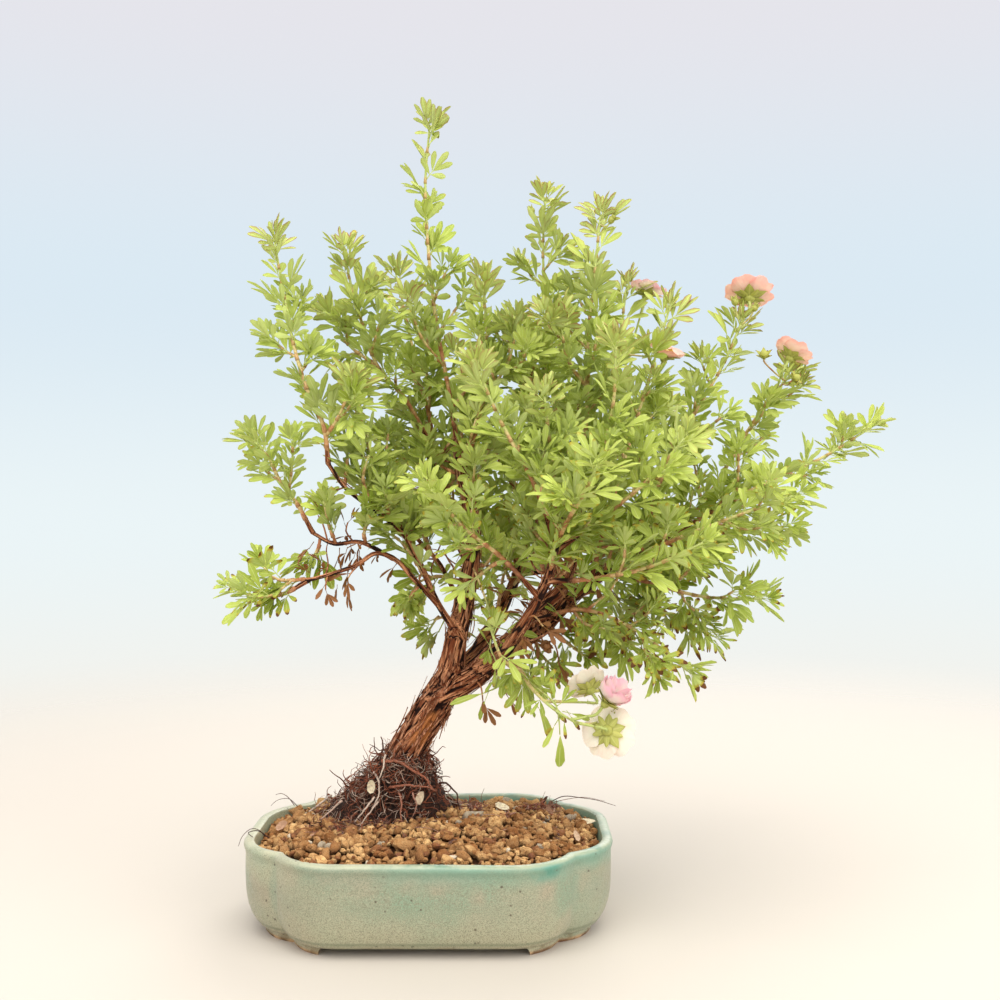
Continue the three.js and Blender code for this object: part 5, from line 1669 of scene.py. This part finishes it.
def petal_finish(name, heart, blush, rim, vein):
    """Petal skin: a warm heart, a blush towards the rim, fine veins and a soft sheen."""
    material, tree, shader = new_finish(name, 0.58)
    marks = marks_of(tree, "petal")
    along, across, seed = marks["Red"], marks["Green"], marks["Blue"]
    spot = spot_in(tree)
    way = put(tree, "CombineXYZ", X=times(across, 26.0), Y=times(along, 2.2), Z=times(seed, 40.0))
    lines = put(tree, "TexNoise", Vector=way.outputs[0], Scale=1.0, Detail=3.0).outputs[0]
    cloud = mottle(spot, 150, 0.3, 0.7)
    spread = plus(along, times(sums("SUBTRACT", cloud, 0.5), 0.35))
    tone = tint(grade(spread, 0.1, 0.5), heart, blush)
    tone = tint(grade(spread, 0.55, 1.1), tone, rim)
    tone = tint(grade(lines, 0.5, 0.66), tone, vein, 0.25)
    light = times(sums("SUBTRACT", seed, 0.3), 0.25)
    tone = tint(light, tone, (0.95, 0.92, 0.86))
    link(tone, shader, "Base Color")
    relief(shader, plus(lines, times(cloud, 0.8)), 0.0004, 0.5)
    shader.inputs["Sheen Weight"].default_value = 0.25
    let_light_through(shader, tone, 0.42)
    return material


PETAL_FINISHES = {
    "cream": petal_finish("petal_cream_skin", sRGB(246, 238, 184), sRGB(255, 249, 232),
                          sRGB(255, 242, 228), sRGB(248, 228, 206)),
    "pink": petal_finish("petal_pink_skin", sRGB(255, 247, 214), sRGB(255, 243, 234),
                         sRGB(254, 212, 222), sRGB(252, 212, 218)),
    "salmon": petal_finish("petal_salmon_skin", sRGB(252, 238, 196), sRGB(254, 230, 217),
                           sRGB(252, 204, 192), sRGB(247, 196, 184)),
}


def leafy_bmesh():
    """An empty piece with the marks that the leaf and stem skins read."""
    bm = bmesh.new()
    bm.verts.layers.float_color.new("tissue")
    bm.verts.layers.float.new("shade")
    return bm


def place_piece(name, bm, finishes, replaced):
    """Sets one piece of a flower in the scene."""
    piece = stand_in_scene(name, to_mesh(bm, name))
    for finish in finishes:
        piece.data.materials.append(finish)
    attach(piece, "root")
    for node in replaced:
        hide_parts(node)


for index, (name, bloom) in enumerate(BLOOMS.items()):
    draw = random.Random(800 + index)
    branch = side_paths[name]
    way = branch.at(branch.length)[1]
    facing = Vector(bloom.facing).normalized()
    start = branch.points[-1] - way * 0.6
    bend = start + way * (bloom.reach * 0.5 + 0.95)
    seat = bend + facing * (bloom.reach * 0.5 + 2)
    turn = facing.to_track_quat("Z", "Y").to_matrix().to_4x4()
    place = Matrix.Translation(seat + facing * CUP_DEPTH) @ turn

    calyx_bm = leafy_bmesh()
    rise = GrownPath([start, bend, seat])
    stalk = rise.stretch(1.5)
    add_stalk(calyx_bm, stalk, STALK_RADIUS, 0.85)
    add_hairs(calyx_bm, stalk, STALK_RADIUS, HAIR_COUNT, draw)
    cup = [seat - facing * 0.6, seat + facing * 0.2, seat + facing * 1.2, seat + facing * 1.9]
    cup_mesh = tube_mesh(cup, [0.75, 1.9 * bloom.scale, 2.5 * bloom.scale, 1.7], 10, 1)
    join_copy(calyx_bm, cup_mesh, tissue=(0.1, 0.5, 0, 0.2), shade=0.45)
    add_star(calyx_bm, place, bloom.scale, math.atan(0.16 * bloom.cup) + 0.06, draw)
    place_piece(f"calyx_{name}", calyx_bm, (calyx_face, calyx_back, stem_skin),
                [f"flower_{name}_calyx"])

    petal_bm = bmesh.new()
    petal_bm.verts.layers.float_color.new("petal")
    for ring, (count, size) in enumerate(PETAL_RINGS.get(name, [(5, 1)])):
        for step in range(count):
            spin = math.tau * (step + 0.5 * ring + draw.uniform(-0.06, 0.06)) / count
            up = Matrix.Translation((0, 0, PETAL_SEAT + 0.35 * ring))
            join_copy(petal_bm, petal_mesh(bloom, size * draw.uniform(0.95, 1.03), draw),
                      place @ up @ Matrix.Rotation(spin, 4, "Z"))
    place_piece(f"petals_{name}", petal_bm, (PETAL_FINISHES[bloom.colour],),
                [f"flower_{name}_petals"])

    stamen_bm = bmesh.new()
    stamen_bm.verts.layers.float_color.new("stamen")
    grow = place @ Matrix.Translation((0, 0, PETAL_SEAT + 0.35))
    heart_bm = bmesh.new()
    bmesh.ops.create_icosphere(heart_bm, subdivisions=3, radius=1.9 * bloom.scale)
    for vert in heart_bm.verts:
        vert.co *= 1 + 0.09 * math.sin(5 * vert.co.x) * math.sin(5 * vert.co.y + 2 * vert.co.z)
        vert.co.z = vert.co.z * 0.75 + 1.1 * bloom.scale
    join_copy(stamen_bm, keep_mesh(heart_bm, "heart"), grow, stamen=(0.25, 0, 0, 1))
    for step in range(STAMEN_COUNT):
        angle = step * 2.4
        lean = draw.uniform(0.35, 0.95)
        out = Vector((math.cos(angle) * math.sin(lean), math.sin(angle) * math.sin(lean), math.cos(lean)))
        foot = Vector((math.cos(angle), math.sin(angle), 0)) * 1.5 * bloom.scale
        tip = foot + out * draw.uniform(2.6, 3.8) * bloom.scale
        join_copy(stamen_bm, tube_mesh([foot, tip], [0.16, 0.12], 4), grow, stamen=(0, 0, 0, 1))
        knob = tube_mesh([tip - out * 0.35, tip, tip + out * 0.35], [0.2, 0.5, 0.2], 6)
        join_copy(stamen_bm, knob, grow, stamen=(1, 0, 0, 1))
    place_piece(f"stamens_{name}", stamen_bm, (stamen_skin,), [f"flower_{name}_stamens"])

# Inner twigs: the short leafy growth that fills the crown between the main shoots. Each
# springs from a limb, thin and woody at its foot, and carries a few joints of leaves.
# Limb, share of the way along it, and the places the twig passes through.
INNER_TWIGS = {
    "twigs_left": [
        ("branch_far_left", 0.5, [(-20, -8, 199), (-23, -10, 210)]),
        ("branch_far_left", 0.72, [(-30, -17, 207), (-27, -20, 218)]),
        ("branch_far_left", 0.3, [(-13, -14, 178), (-22, -18, 184)]),
        ("branch_mid_left", 0.7, [(-46, -18, 187), (-48, -20, 197)]),
        ("branch_mid_left", 0.35, [(-29, -22, 183), (-24, -26, 192)]),
        ("branch_mid_left", 0.9, [(-52, -11, 174), (-56, -12, 168)]),
        ("branch_low_left", 0.2, [(-6, -13, 156), (-10, -14, 150)]),
        ("branch_low_left", 0.97, [(-69, -28, 162), (-75, -28, 169)]),
        ("branch_thin", 0.6, [(-4, -5, 187), (3, -8, 192)]),
        ("branch_thin", 0.8, [(-14, -8, 190), (-22, -12, 196)]),
    ],
    "twigs_fork": [
        ("limb_left", 0.42, [(3, -2, 161), (-6, -4, 158), (-10, -4, 151)]),
        ("limb_left", 0.22, [(4, 7, 141), (-2, 9, 133)]),
        ("limb_left", 0.62, [(6, -5, 186), (-3, -9, 194)]),
        ("limb_left", 0.5, [(26, 8, 166), (31, 10, 175)]),
        ("limb_back", 0.4, [(35, 27, 160), (40, 30, 172)]),
        ("limb_back", 0.6, [(28, 44, 180), (22, 48, 194)]),
        ("limb_back", 0.7, [(38, 50, 186), (32, 56, 202)]),
        ("limb_left_back", 0.6, [(8, 30, 204), (14, 34, 214)]),
    ],
    "twigs_low": [
        ("limb_right_low", 0.3, [(74, 2, 146), (85, 6, 138), (89, 7, 130)]),
        ("limb_right_low", 0.22, [(66, 8, 128), (76, 12, 120)]),
        ("limb_right_low", 0.4, [(86, 20, 152), (96, 28, 142)]),
        ("limb_right_low", 0.14, [(52, 4, 124), (60, 6, 116)]),
        ("limb_right_low", 0.66, [(104, 30, 164), (118, 38, 158)]),
        ("limb_right_low", 0.8, [(124, 14, 170), (138, 8, 168)]),
    ],
}
TWIG_FOOT = 0.85
FREE_TWIGS = {"limb_left": 5, "limb_left_back": 5, "limb_right": 6, "limb_right_low": 10,
              "limb_back": 9, "limb_front": 6, "branch_far_left": 2}

twigs = {}
for index, (name, routes) in enumerate(INNER_TWIGS.items()):
    spray = Spray(500 + index)
    for limb, share, route in routes:
        path = GrownPath([on_limb(limb, share)[0]] + route)
        spray.add_stem(path.stretch(4), TWIG_FOOT, TIP_RADIUS, 0.15, 0.8)
        spray.dress(path, 5, path.length, TWIG_FOOT, 0.3, 6, side_share=0.1, tuft=4,
                    small=name != "twigs_fork")
    twigs[name] = spray
spray = Spray(520)
for limb, count in FREE_TWIGS.items():
    first = 0.7 if limb in ("limb_right", "limb_left", "limb_front") else 0.5
    for index in range(count):
        at, ahead = on_limb(limb, first + (1 - first) * (index + 0.5) / count)
        out = around(ahead, index * 2.4 + spray.draw.uniform(-0.4, 0.4))
        if limb == "limb_right" and out.y < -0.3:
            continue
        way = (out + ahead * 0.5 + Vector((0, 0, 0.3))).normalized()
        middle = at + way * spray.draw.uniform(9, 15)
        end = middle + (way + Vector((0, 0, 0.5))).normalized() * spray.draw.uniform(8, 16)
        path = GrownPath([at, middle, end])
        spray.add_stem(path.stretch(4), TWIG_FOOT, TIP_RADIUS, 0.15, 0.7)
        spray.dress(path, 7, path.length, TWIG_FOOT, 0.3, 6, side_share=0, tuft=6)
twigs["twigs_crown"] = spray

# Lone leaves: the sparse growth that hangs in front of the fork and along the flowering shoot.
# For each thin stem: its foot on a limb, its route, and the foot, tip and kind of each leaf.
LONE_LEAVES = [
    ("limb_left", 0.5, [(24, -8, 157), (28.4, -16, 145), (30.2, -16, 139), (28.4, -16, 129.5),
                        (31.2, -17, 123), (32.1, -17, 117.7), (30.2, -17, 110)], [
        ((28.6, -16, 145), (21.5, -16, 154), "one"), ((30.2, -16, 139), (46, -18, 135), "three"),
        ((29.8, -16, 137), (34.4, -17, 147), "three"), ((28.4, -16, 130), (23.2, -16, 137), "one"),
        ((28.4, -16, 130), (25.2, -16, 122), "three"), ((31, -17, 123), (38.6, -18, 131), "three"),
        ((31.2, -17, 122), (29.8, -17, 113), "one"), ((32, -17, 118), (37.6, -18, 108), "five"),
        ((32, -17, 117), (27, -17, 109.2), "one"), ((30.2, -17, 110), (12.8, -18, 103.6), "one"),
        ((28, -17, 109.5), (23.7, -18, 98.9), "one"), ((30.2, -17, 110), (38, -18, 114), "three"),
    ]),
    ("limb_right", 0.36, [(42, -14, 126), (43, -18, 120)], [
        ((43, -18, 122), (52.3, -20, 108), "five"), ((43, -18, 120), (46, -20, 106), "three"),
        ((43, -18, 121), (38, -20, 112), "three"),
    ]),
    ("limb_right", 0.3, [(42, -18, 116), (47.2, -22, 108), (46, -20, 104)], [
        ((47.2, -22, 108), (56, -24, 94), "one"), ((46, -20, 104), (43, -20, 98.6), "one"),
        ((46, -20, 104), (49, -20, 99), "one"), ((45, -20, 112), (52, -26, 118), "three"),
    ]),
    ("limb_right", 0.3, [(48, -36, 115), (57.7, -49, 107.8), (58.6, -49, 102.5)], [
        ((57.6, -49, 107.8), (55.1, -49, 119), "one"), ((57.7, -49, 108), (66.6, -49, 114), "three"),
        ((60, -50, 106), (69.8, -50, 103.6), "one"), ((60.5, -50, 104), (61.6, -52, 95.6), "one"),
        ((58.5, -49, 102.5), (52.4, -49, 92.4), "one"), ((58.6, -49, 102.5), (60, -49, 85), "one"),
        ((52, -43, 112), (47, -46, 104), "three"), ((50, -40, 113), (56, -42, 122), "five"),
        ((53, -44, 111), (60, -47, 102), "one"), ((62, -48, 106), (67, -50, 99), "one"),
    ]),
]

TO_VIEWER = Vector((0.1, -1.7, 0.3))
spray = Spray(540)
for limb, share, route, leaves in LONE_LEAVES:
    path = GrownPath([on_limb(limb, share)[0]] + route)
    spray.add_stem(path.stretch(3), 0.6, 0.4, 0.4, 1, 5)
    for foot, tip, kind in leaves:
        way = Vector(tip) - Vector(foot)
        spray.add_leaf(Vector(foot), TO_VIEWER, way.normalized(), 0, way.length / 16.5, kind, 0.35)
twigs["leaves_in_front"] = spray
for name, spray in twigs.items():
    place_piece(name, spray.bm, (leaf_upper, leaf_lower, stem_skin), [])

# Buds and spent blooms: closed green buds, calyces whose petals have dropped, and dry brown
# seed heads. Each is a small star of sepals round a knob, on a stalk from the shoot near it.
# Where each sits, the shoot it grows from, which way it faces, its size, how far its sepals
# close over it, and how dry it is.
SPENT_BLOOMS = [
    ((145.6, 5, 290.6), "spray_right_tall", (-0.2, -0.3, 1), 0.55, 1.15, 0),
    ((153.7, 2, 287.3), "spray_right_tall", (0.4, -0.3, 1), 0.5, 1.2, 0),
    ((159, 4, 265.2), "spray_right_upper", (-0.1, -0.6, 0.8), 0.62, 0.6, 0.5),
    ((173.3, 5, 254.7), "spray_right_upper", (0.5, -0.5, 0.4), 0.6, 0.5, 0.6),
    ((80.9, -48, 103.5), "spray_flowering", (0.6, -0.4, 0.4), 0.5, 1.15, 0.2),
    ((88, -10, 268), "spray_right_inner", (0.1, -0.5, 0.9), 0.5, 1.0, 0.1),
    ((84, -12, 326), "spray_right_peak", (0.5, -0.2, 0.9), 0.5, 1.2, 0),
    ((49, 12, 336), "spray_mid_peak", (-0.5, -0.2, 0.9), 0.5, 1.2, 0),
    ((53.6, -16, 131), "spray_low_front", (0.2, -0.9, -0.2), 0.75, 1.0, 1),
    ((58, -14, 136), "spray_low_front", (-0.3, -0.9, 0.1), 0.6, 1.0, 1),
]

bud_bm = leafy_bmesh()
draw = random.Random(61)
for at, shoot, facing, size, lift, dry in SPENT_BLOOMS:
    path = shoot_paths[shoot][0]
    at, facing = Vector(at), Vector(facing).normalized()
    foot = min(path.points, key=lambda point: (point - at).length + max(0, point.z - at.z))
    rise = GrownPath([foot, foot.lerp(at, 0.5) + Vector((0, 0, -1.5)), at - facing * 1.5, at])
    stalk = rise.stretch(2)
    add_stalk(bud_bm, stalk, 0.42, 0.7 - 0.6 * dry, 5)
    add_hairs(bud_bm, stalk[-4:], 0.42, 16, draw)
    turn = Matrix.Translation(at) @ facing.to_track_quat("Z", "Y").to_matrix().to_4x4()
    core = [Vector((0, 0, z)) for z in (-0.8, 0, 1.2, 2.8, 4.2, 4.9)]
    widths = [0.5, 1.9, 2.8, 2.9, 1.9, 0.6]
    knob = tube_mesh([point * size * 1.3 for point in core],
                     [width * size * 1.1 for width in widths], 10, 1)
    join_copy(bud_bm, knob, turn, tissue=(0.1, 0.5, dry, 0.2), shade=0.45)
    add_star(bud_bm, turn, size, lift, draw, dry, 0.3)
place_piece("buds_and_calyces", bud_bm, (calyx_face, calyx_back, stem_skin), [])

# Dry leaves: old brown leaves that still hang in the lower crown or lie caught on the wood.
# They are the same blades gone tan and curled, so they carry the mark of full wear.
# Limb, share of the way along it, the route of the dead stalk, and the size of its leaves.
DRY_TWIGS = [
    ("branch_low_left", 0.66, [(-35, -24, 164), (-36, -25, 162)], 0.6),
    ("branch_low_left", 0.88, [(-46, -26, 160), (-46, -27, 157)], 0.5),
    ("branch_mid_left", 0.8, [(-49, -14, 186), (-51, -15, 190)], 0.5),
    ("branch_mid_left", 0.5, [(-38, -17, 183), (-37, -18, 187)], 0.5),
    ("limb_right", 0.16, [(24, -9, 110), (25, -12, 104)], 0.62),
    ("limb_right", 0.26, [(33, -11, 113), (36, -13, 107)], 0.6),
    ("limb_right", 0.5, [(52, -14, 152), (52, -20, 168)], 0.75),
    ("limb_right_low", 0.2, [(60, 2, 126), (61, 0, 119)], 0.6),
    ("limb_front", 0.5, [(48, -36, 146), (52, -42, 142)], 0.6),
]
LOOSE_DRY = 60

dry_leaves = Spray(71)
for limb, share, route, size in DRY_TWIGS:
    path = GrownPath([on_limb(limb, share)[0]] + route)
    dry_leaves.add_stem(path.stretch(2), 0.5, 0.35, 0.1, 0.3, 5)
    for index in range(2):
        at, ahead = path.at(path.length - 2.5 * index)
        dry_leaves.add_leaf(at, ahead, around(ahead, 2.4 * index), 1.1 - 0.3 * index, size,
                            "one" if index else "three", 0)
for _ in range(LOOSE_DRY):
    limb = dry_leaves.draw.choice(("limb_right", "limb_right_low", "limb_front", "limb_left",
                                   "branch_low_left", "limb_back", "branch_mid_left"))
    at, ahead = on_limb(limb, dry_leaves.draw.uniform(0.3, 1))
    out = around(ahead, dry_leaves.draw.uniform(0, math.tau))
    foot = at + out * dry_leaves.draw.uniform(1, 7)
    dry_leaves.add_leaf(foot, ahead, (out + Vector((0, 0, -0.7))).normalized(), 0.2,
                        dry_leaves.draw.uniform(0.4, 0.7), "three", 0)
for face in dry_leaves.bm.faces:
    if face.material_index != STEM_MARK:
        for vert in face.verts:
            vert[dry_leaves.tissue] = (*vert[dry_leaves.tissue][:2], 1, 0)
place_piece("dry_leaves", dry_leaves.bm, (leaf_upper, leaf_lower, stem_skin), [])

# Litter: pale papery flakes and dark scraps that lie on the soil and on the root mound.
# Each is one thin curled chip. Place, length, width, turn, tip-up, and tone from dark to cream.
FLAKES = [
    ((-70, -4, 43), 6.5, 3.6, 0.4, 0.3, 0.62), ((34, 17, 46.6), 7.6, 3.8, -0.5, -0.1, 1.0),
    ((75, 4, 42.6), 7.8, 3.6, -0.3, 0.1, 1.0), ((-27, -8.6, 63), 7, 4, 1.2, 0.7, 1.0),
    ((-4.5, -6.2, 57), 7, 4.4, 0.9, 0.8, 0.8), ((17.5, 20, 47.1), 5.5, 2.4, 1.9, 0.2, 0.12),
    ((20, 14, 47.3), 4.6, 2.2, 0.3, 0.5, 0.2), ((15, 8, 47.5), 5.2, 2.6, 2.6, 0.1, 0.25),
    ((55.6, 33, 44.2), 6.0, 2.6, 0.2, 0.6, 0.1), ((58, 26, 44.8), 5.0, 2.4, 1.3, 0.4, 0.2),
    ((57, 16, 44.9), 5.6, 2.6, 2.2, 0.3, 0.3), ((12, -38.7, 45.7), 4.8, 2.2, 0.7, 0.1, 0.1),
    ((34, -6, 47.1), 4.4, 2.0, 1.4, 0.1, 0.35), ((-52, -24, 44.6), 3.8, 2.0, 0.5, 0.1, 0.5),
    ((62, 30, 43.5), 4.4, 2.0, 2.9, 0.4, 0.15), ((68, -22, 43.5), 5.0, 2.8, 2.0, 0.2, 0.7),
]
SCRAP_COUNT = 90

litter_bm = bmesh.new()
tissue = litter_bm.verts.layers.float_color.new("tissue")
draw = random.Random(83)


def add_chip(at, length, width, turn, tip, tone, roll=0.0):
    chip = blade_mesh(length, width, draw.uniform(-0.5, 0.1), draw.uniform(0.1, 0.6),
                      draw.uniform(-0.8, 0.8), BRACT_STATIONS)
    place = Matrix.Translation(at) @ Matrix.Rotation(roll, 4, "X") @ Matrix.Rotation(turn, 4, "Z")
    place = place @ Matrix.Rotation(-tip, 4, "Y")
    for vert in join_copy(litter_bm, chip, place @ Matrix.Translation((-length / 2, 0, 0))):
        vert[tissue] = (tone, vert[tissue][1], 0, 0)


for flake in FLAKES:
    add_chip(*flake, 0.8 if flake[5] > 0.5 else 0.2)
for _ in range(SCRAP_COUNT):
    x, y = draw.gauss(22, 38), draw.gauss(4, 26)
    if in_pot(x, y, 3) and not in_mound(x, y, 0):
        add_chip((x, y, soil_height(x, y) + draw.uniform(1.2, 2.2)), draw.uniform(1.4, 3.6),
                 draw.uniform(0.5, 1.2), draw.uniform(0, math.tau), draw.uniform(-0.3, 0.5),
                 draw.random() ** 2 * 0.5)
litter_skin, tree, shader = new_finish("dry_litter", 0.8)
spot = spot_in(tree)
marks = marks_of(tree, "tissue")
tone = tint(grade(marks["Red"], 0.05, 0.6), sRGB(74, 42, 28), sRGB(196, 150, 118))
tone = tint(grade(marks["Red"], 0.55, 0.95), tone, sRGB(246, 232, 196))
tone = tint(mottle(spot, 700, 0.4, 0.7), tone, sRGB(140, 92, 62), 0.4)
link(tone, shader, "Base Color")
relief(shader, mottle(spot, 1400, 0.3, 0.7), 0.0003, 0.7)
place_piece("soil_litter", litter_bm, (litter_skin, litter_skin), [])

# Stray roots: fine dark hairs that the repotting left on the soil and over the pot's rim.
# Route, radius, tone and paleness, as on the mound.
STRAY_ROOTS = [
    ([(-50.8, 25, 50.3), (-55, 19, 48), (-60, 13, 45.4)], 0.7, 1, 0.75),
    ([(-70, 30, 44), (-74, 32, 48), (-77, 32, 49.5), (-80, 33, 48.5)], 0.24, 0.2, 0),
    ([(-68, 28, 44), (-73, 31, 47), (-79, 32, 46), (-82, 31, 43.5)], 0.2, 0.1, 0),
    ([(-76, -14, 41), (-78.5, -17, 45), (-82, -17, 45.5), (-86, -18, 42), (-87.4, -19, 38)],
     0.22, 0.1, 0),
    ([(-74, -16, 41), (-79, -15, 44), (-83, -19, 44.2), (-80, -22, 43)], 0.3, 0.0, 0),
    ([(58, 32, 45), (65, 34, 47.5), (74, 33, 47), (82, 32, 46), (91, 31, 43.5)], 0.26, 0.15, 0),
    ([(60, 36, 44), (68, 35, 46), (76, 36, 46.5), (86, 34, 45)], 0.18, 0.3, 0.2),
    ([(24, 40, 39), (23.5, 40, 46), (25, 40, 50)], 0.2, 0.3, 0.3),
    ([(55, 38, 38), (54.5, 38, 45), (56, 38, 49)], 0.2, 0.4, 0.3),
    ([(59, 38, 38), (58, 38, 44), (58.5, 38, 47)], 0.16, 0.4, 0.4),
    ([(17, 26, 45), (20, 22, 48), (24, 20, 47.5), (29, 22, 45)], 0.3, 0.4, 0.1),
    ([(50, 18, 45), (56, 15, 47.6), (60, 19, 47.4), (64, 17, 45)], 0.26, 0.4, 0.1),
    ([(-60, -20, 43), (-55, -24, 46), (-50, -25, 45.6), (-45, -29, 44)], 0.2, 0.6, 0.3),
    ([(20, 2, 46), (26, -2, 48), (31, -1, 47.6), (38, -5, 46)], 0.18, 0.7, 0.4),
    ([(-8, -14, 45), (-4, -20, 47), (2, -22, 46.8), (8, -28, 45.6)], 0.2, 0.6, 0.3),
]

# Where bits of old root lie matted on the soil, and how wide each mat is.
ROOT_MATS = [((17, 21), 6, 60), ((21, 13), 4, 30), ((50, 25), 6, 46), ((57, 30), 5, 40),
             ((56, 17), 4, 30), ((4, -30), 3, 8), ((36, 3), 3, 12), ((-38, -14), 11, 120),
             ((-22, -12), 9, 80), ((-52, -6), 7, 40)]

draw = random.Random(97)
for centre, wide, count in ROOT_MATS:
    for _ in range(count):
        x, y = draw.gauss(centre[0], wide / 2), draw.gauss(centre[1], wide / 2)
        level = soil_height(x, y) + draw.uniform(0.8, 3.2)
        way = scatter(draw, 1, 0.35).normalized()
        turned = (way + scatter(draw, 0.6, 0.4)).normalized()
        reach = draw.uniform(1.2, 3)
        middle = Vector((x, y, level)) + way * reach
        STRAY_ROOTS.append(([(x, y, level), tuple(middle), tuple(middle + turned * reach)],
                            draw.uniform(0.2, 0.55) if centre[0] > 0 else draw.uniform(0.14, 0.36),
                            draw.uniform(0.3, 1) if centre[0] > 0 else draw.random() * 0.7,
                            draw.random() ** 4 * 0.6))

stray_bm = bmesh.new()
stray_bm.verts.layers.float_color.new("root")
for route, thick, tone, pale in STRAY_ROOTS:
    path = GrownPath(route)
    points = path.stretch(1.6)
    radii = [thick * (1 - 0.5 * step / (len(points) - 1)) for step in range(len(points))]
    join_copy(stray_bm, tube_mesh(points, radii, 5), root=(1, tone, pale, 1))
place_piece("stray_roots", stray_bm, (roots_finish,), [])
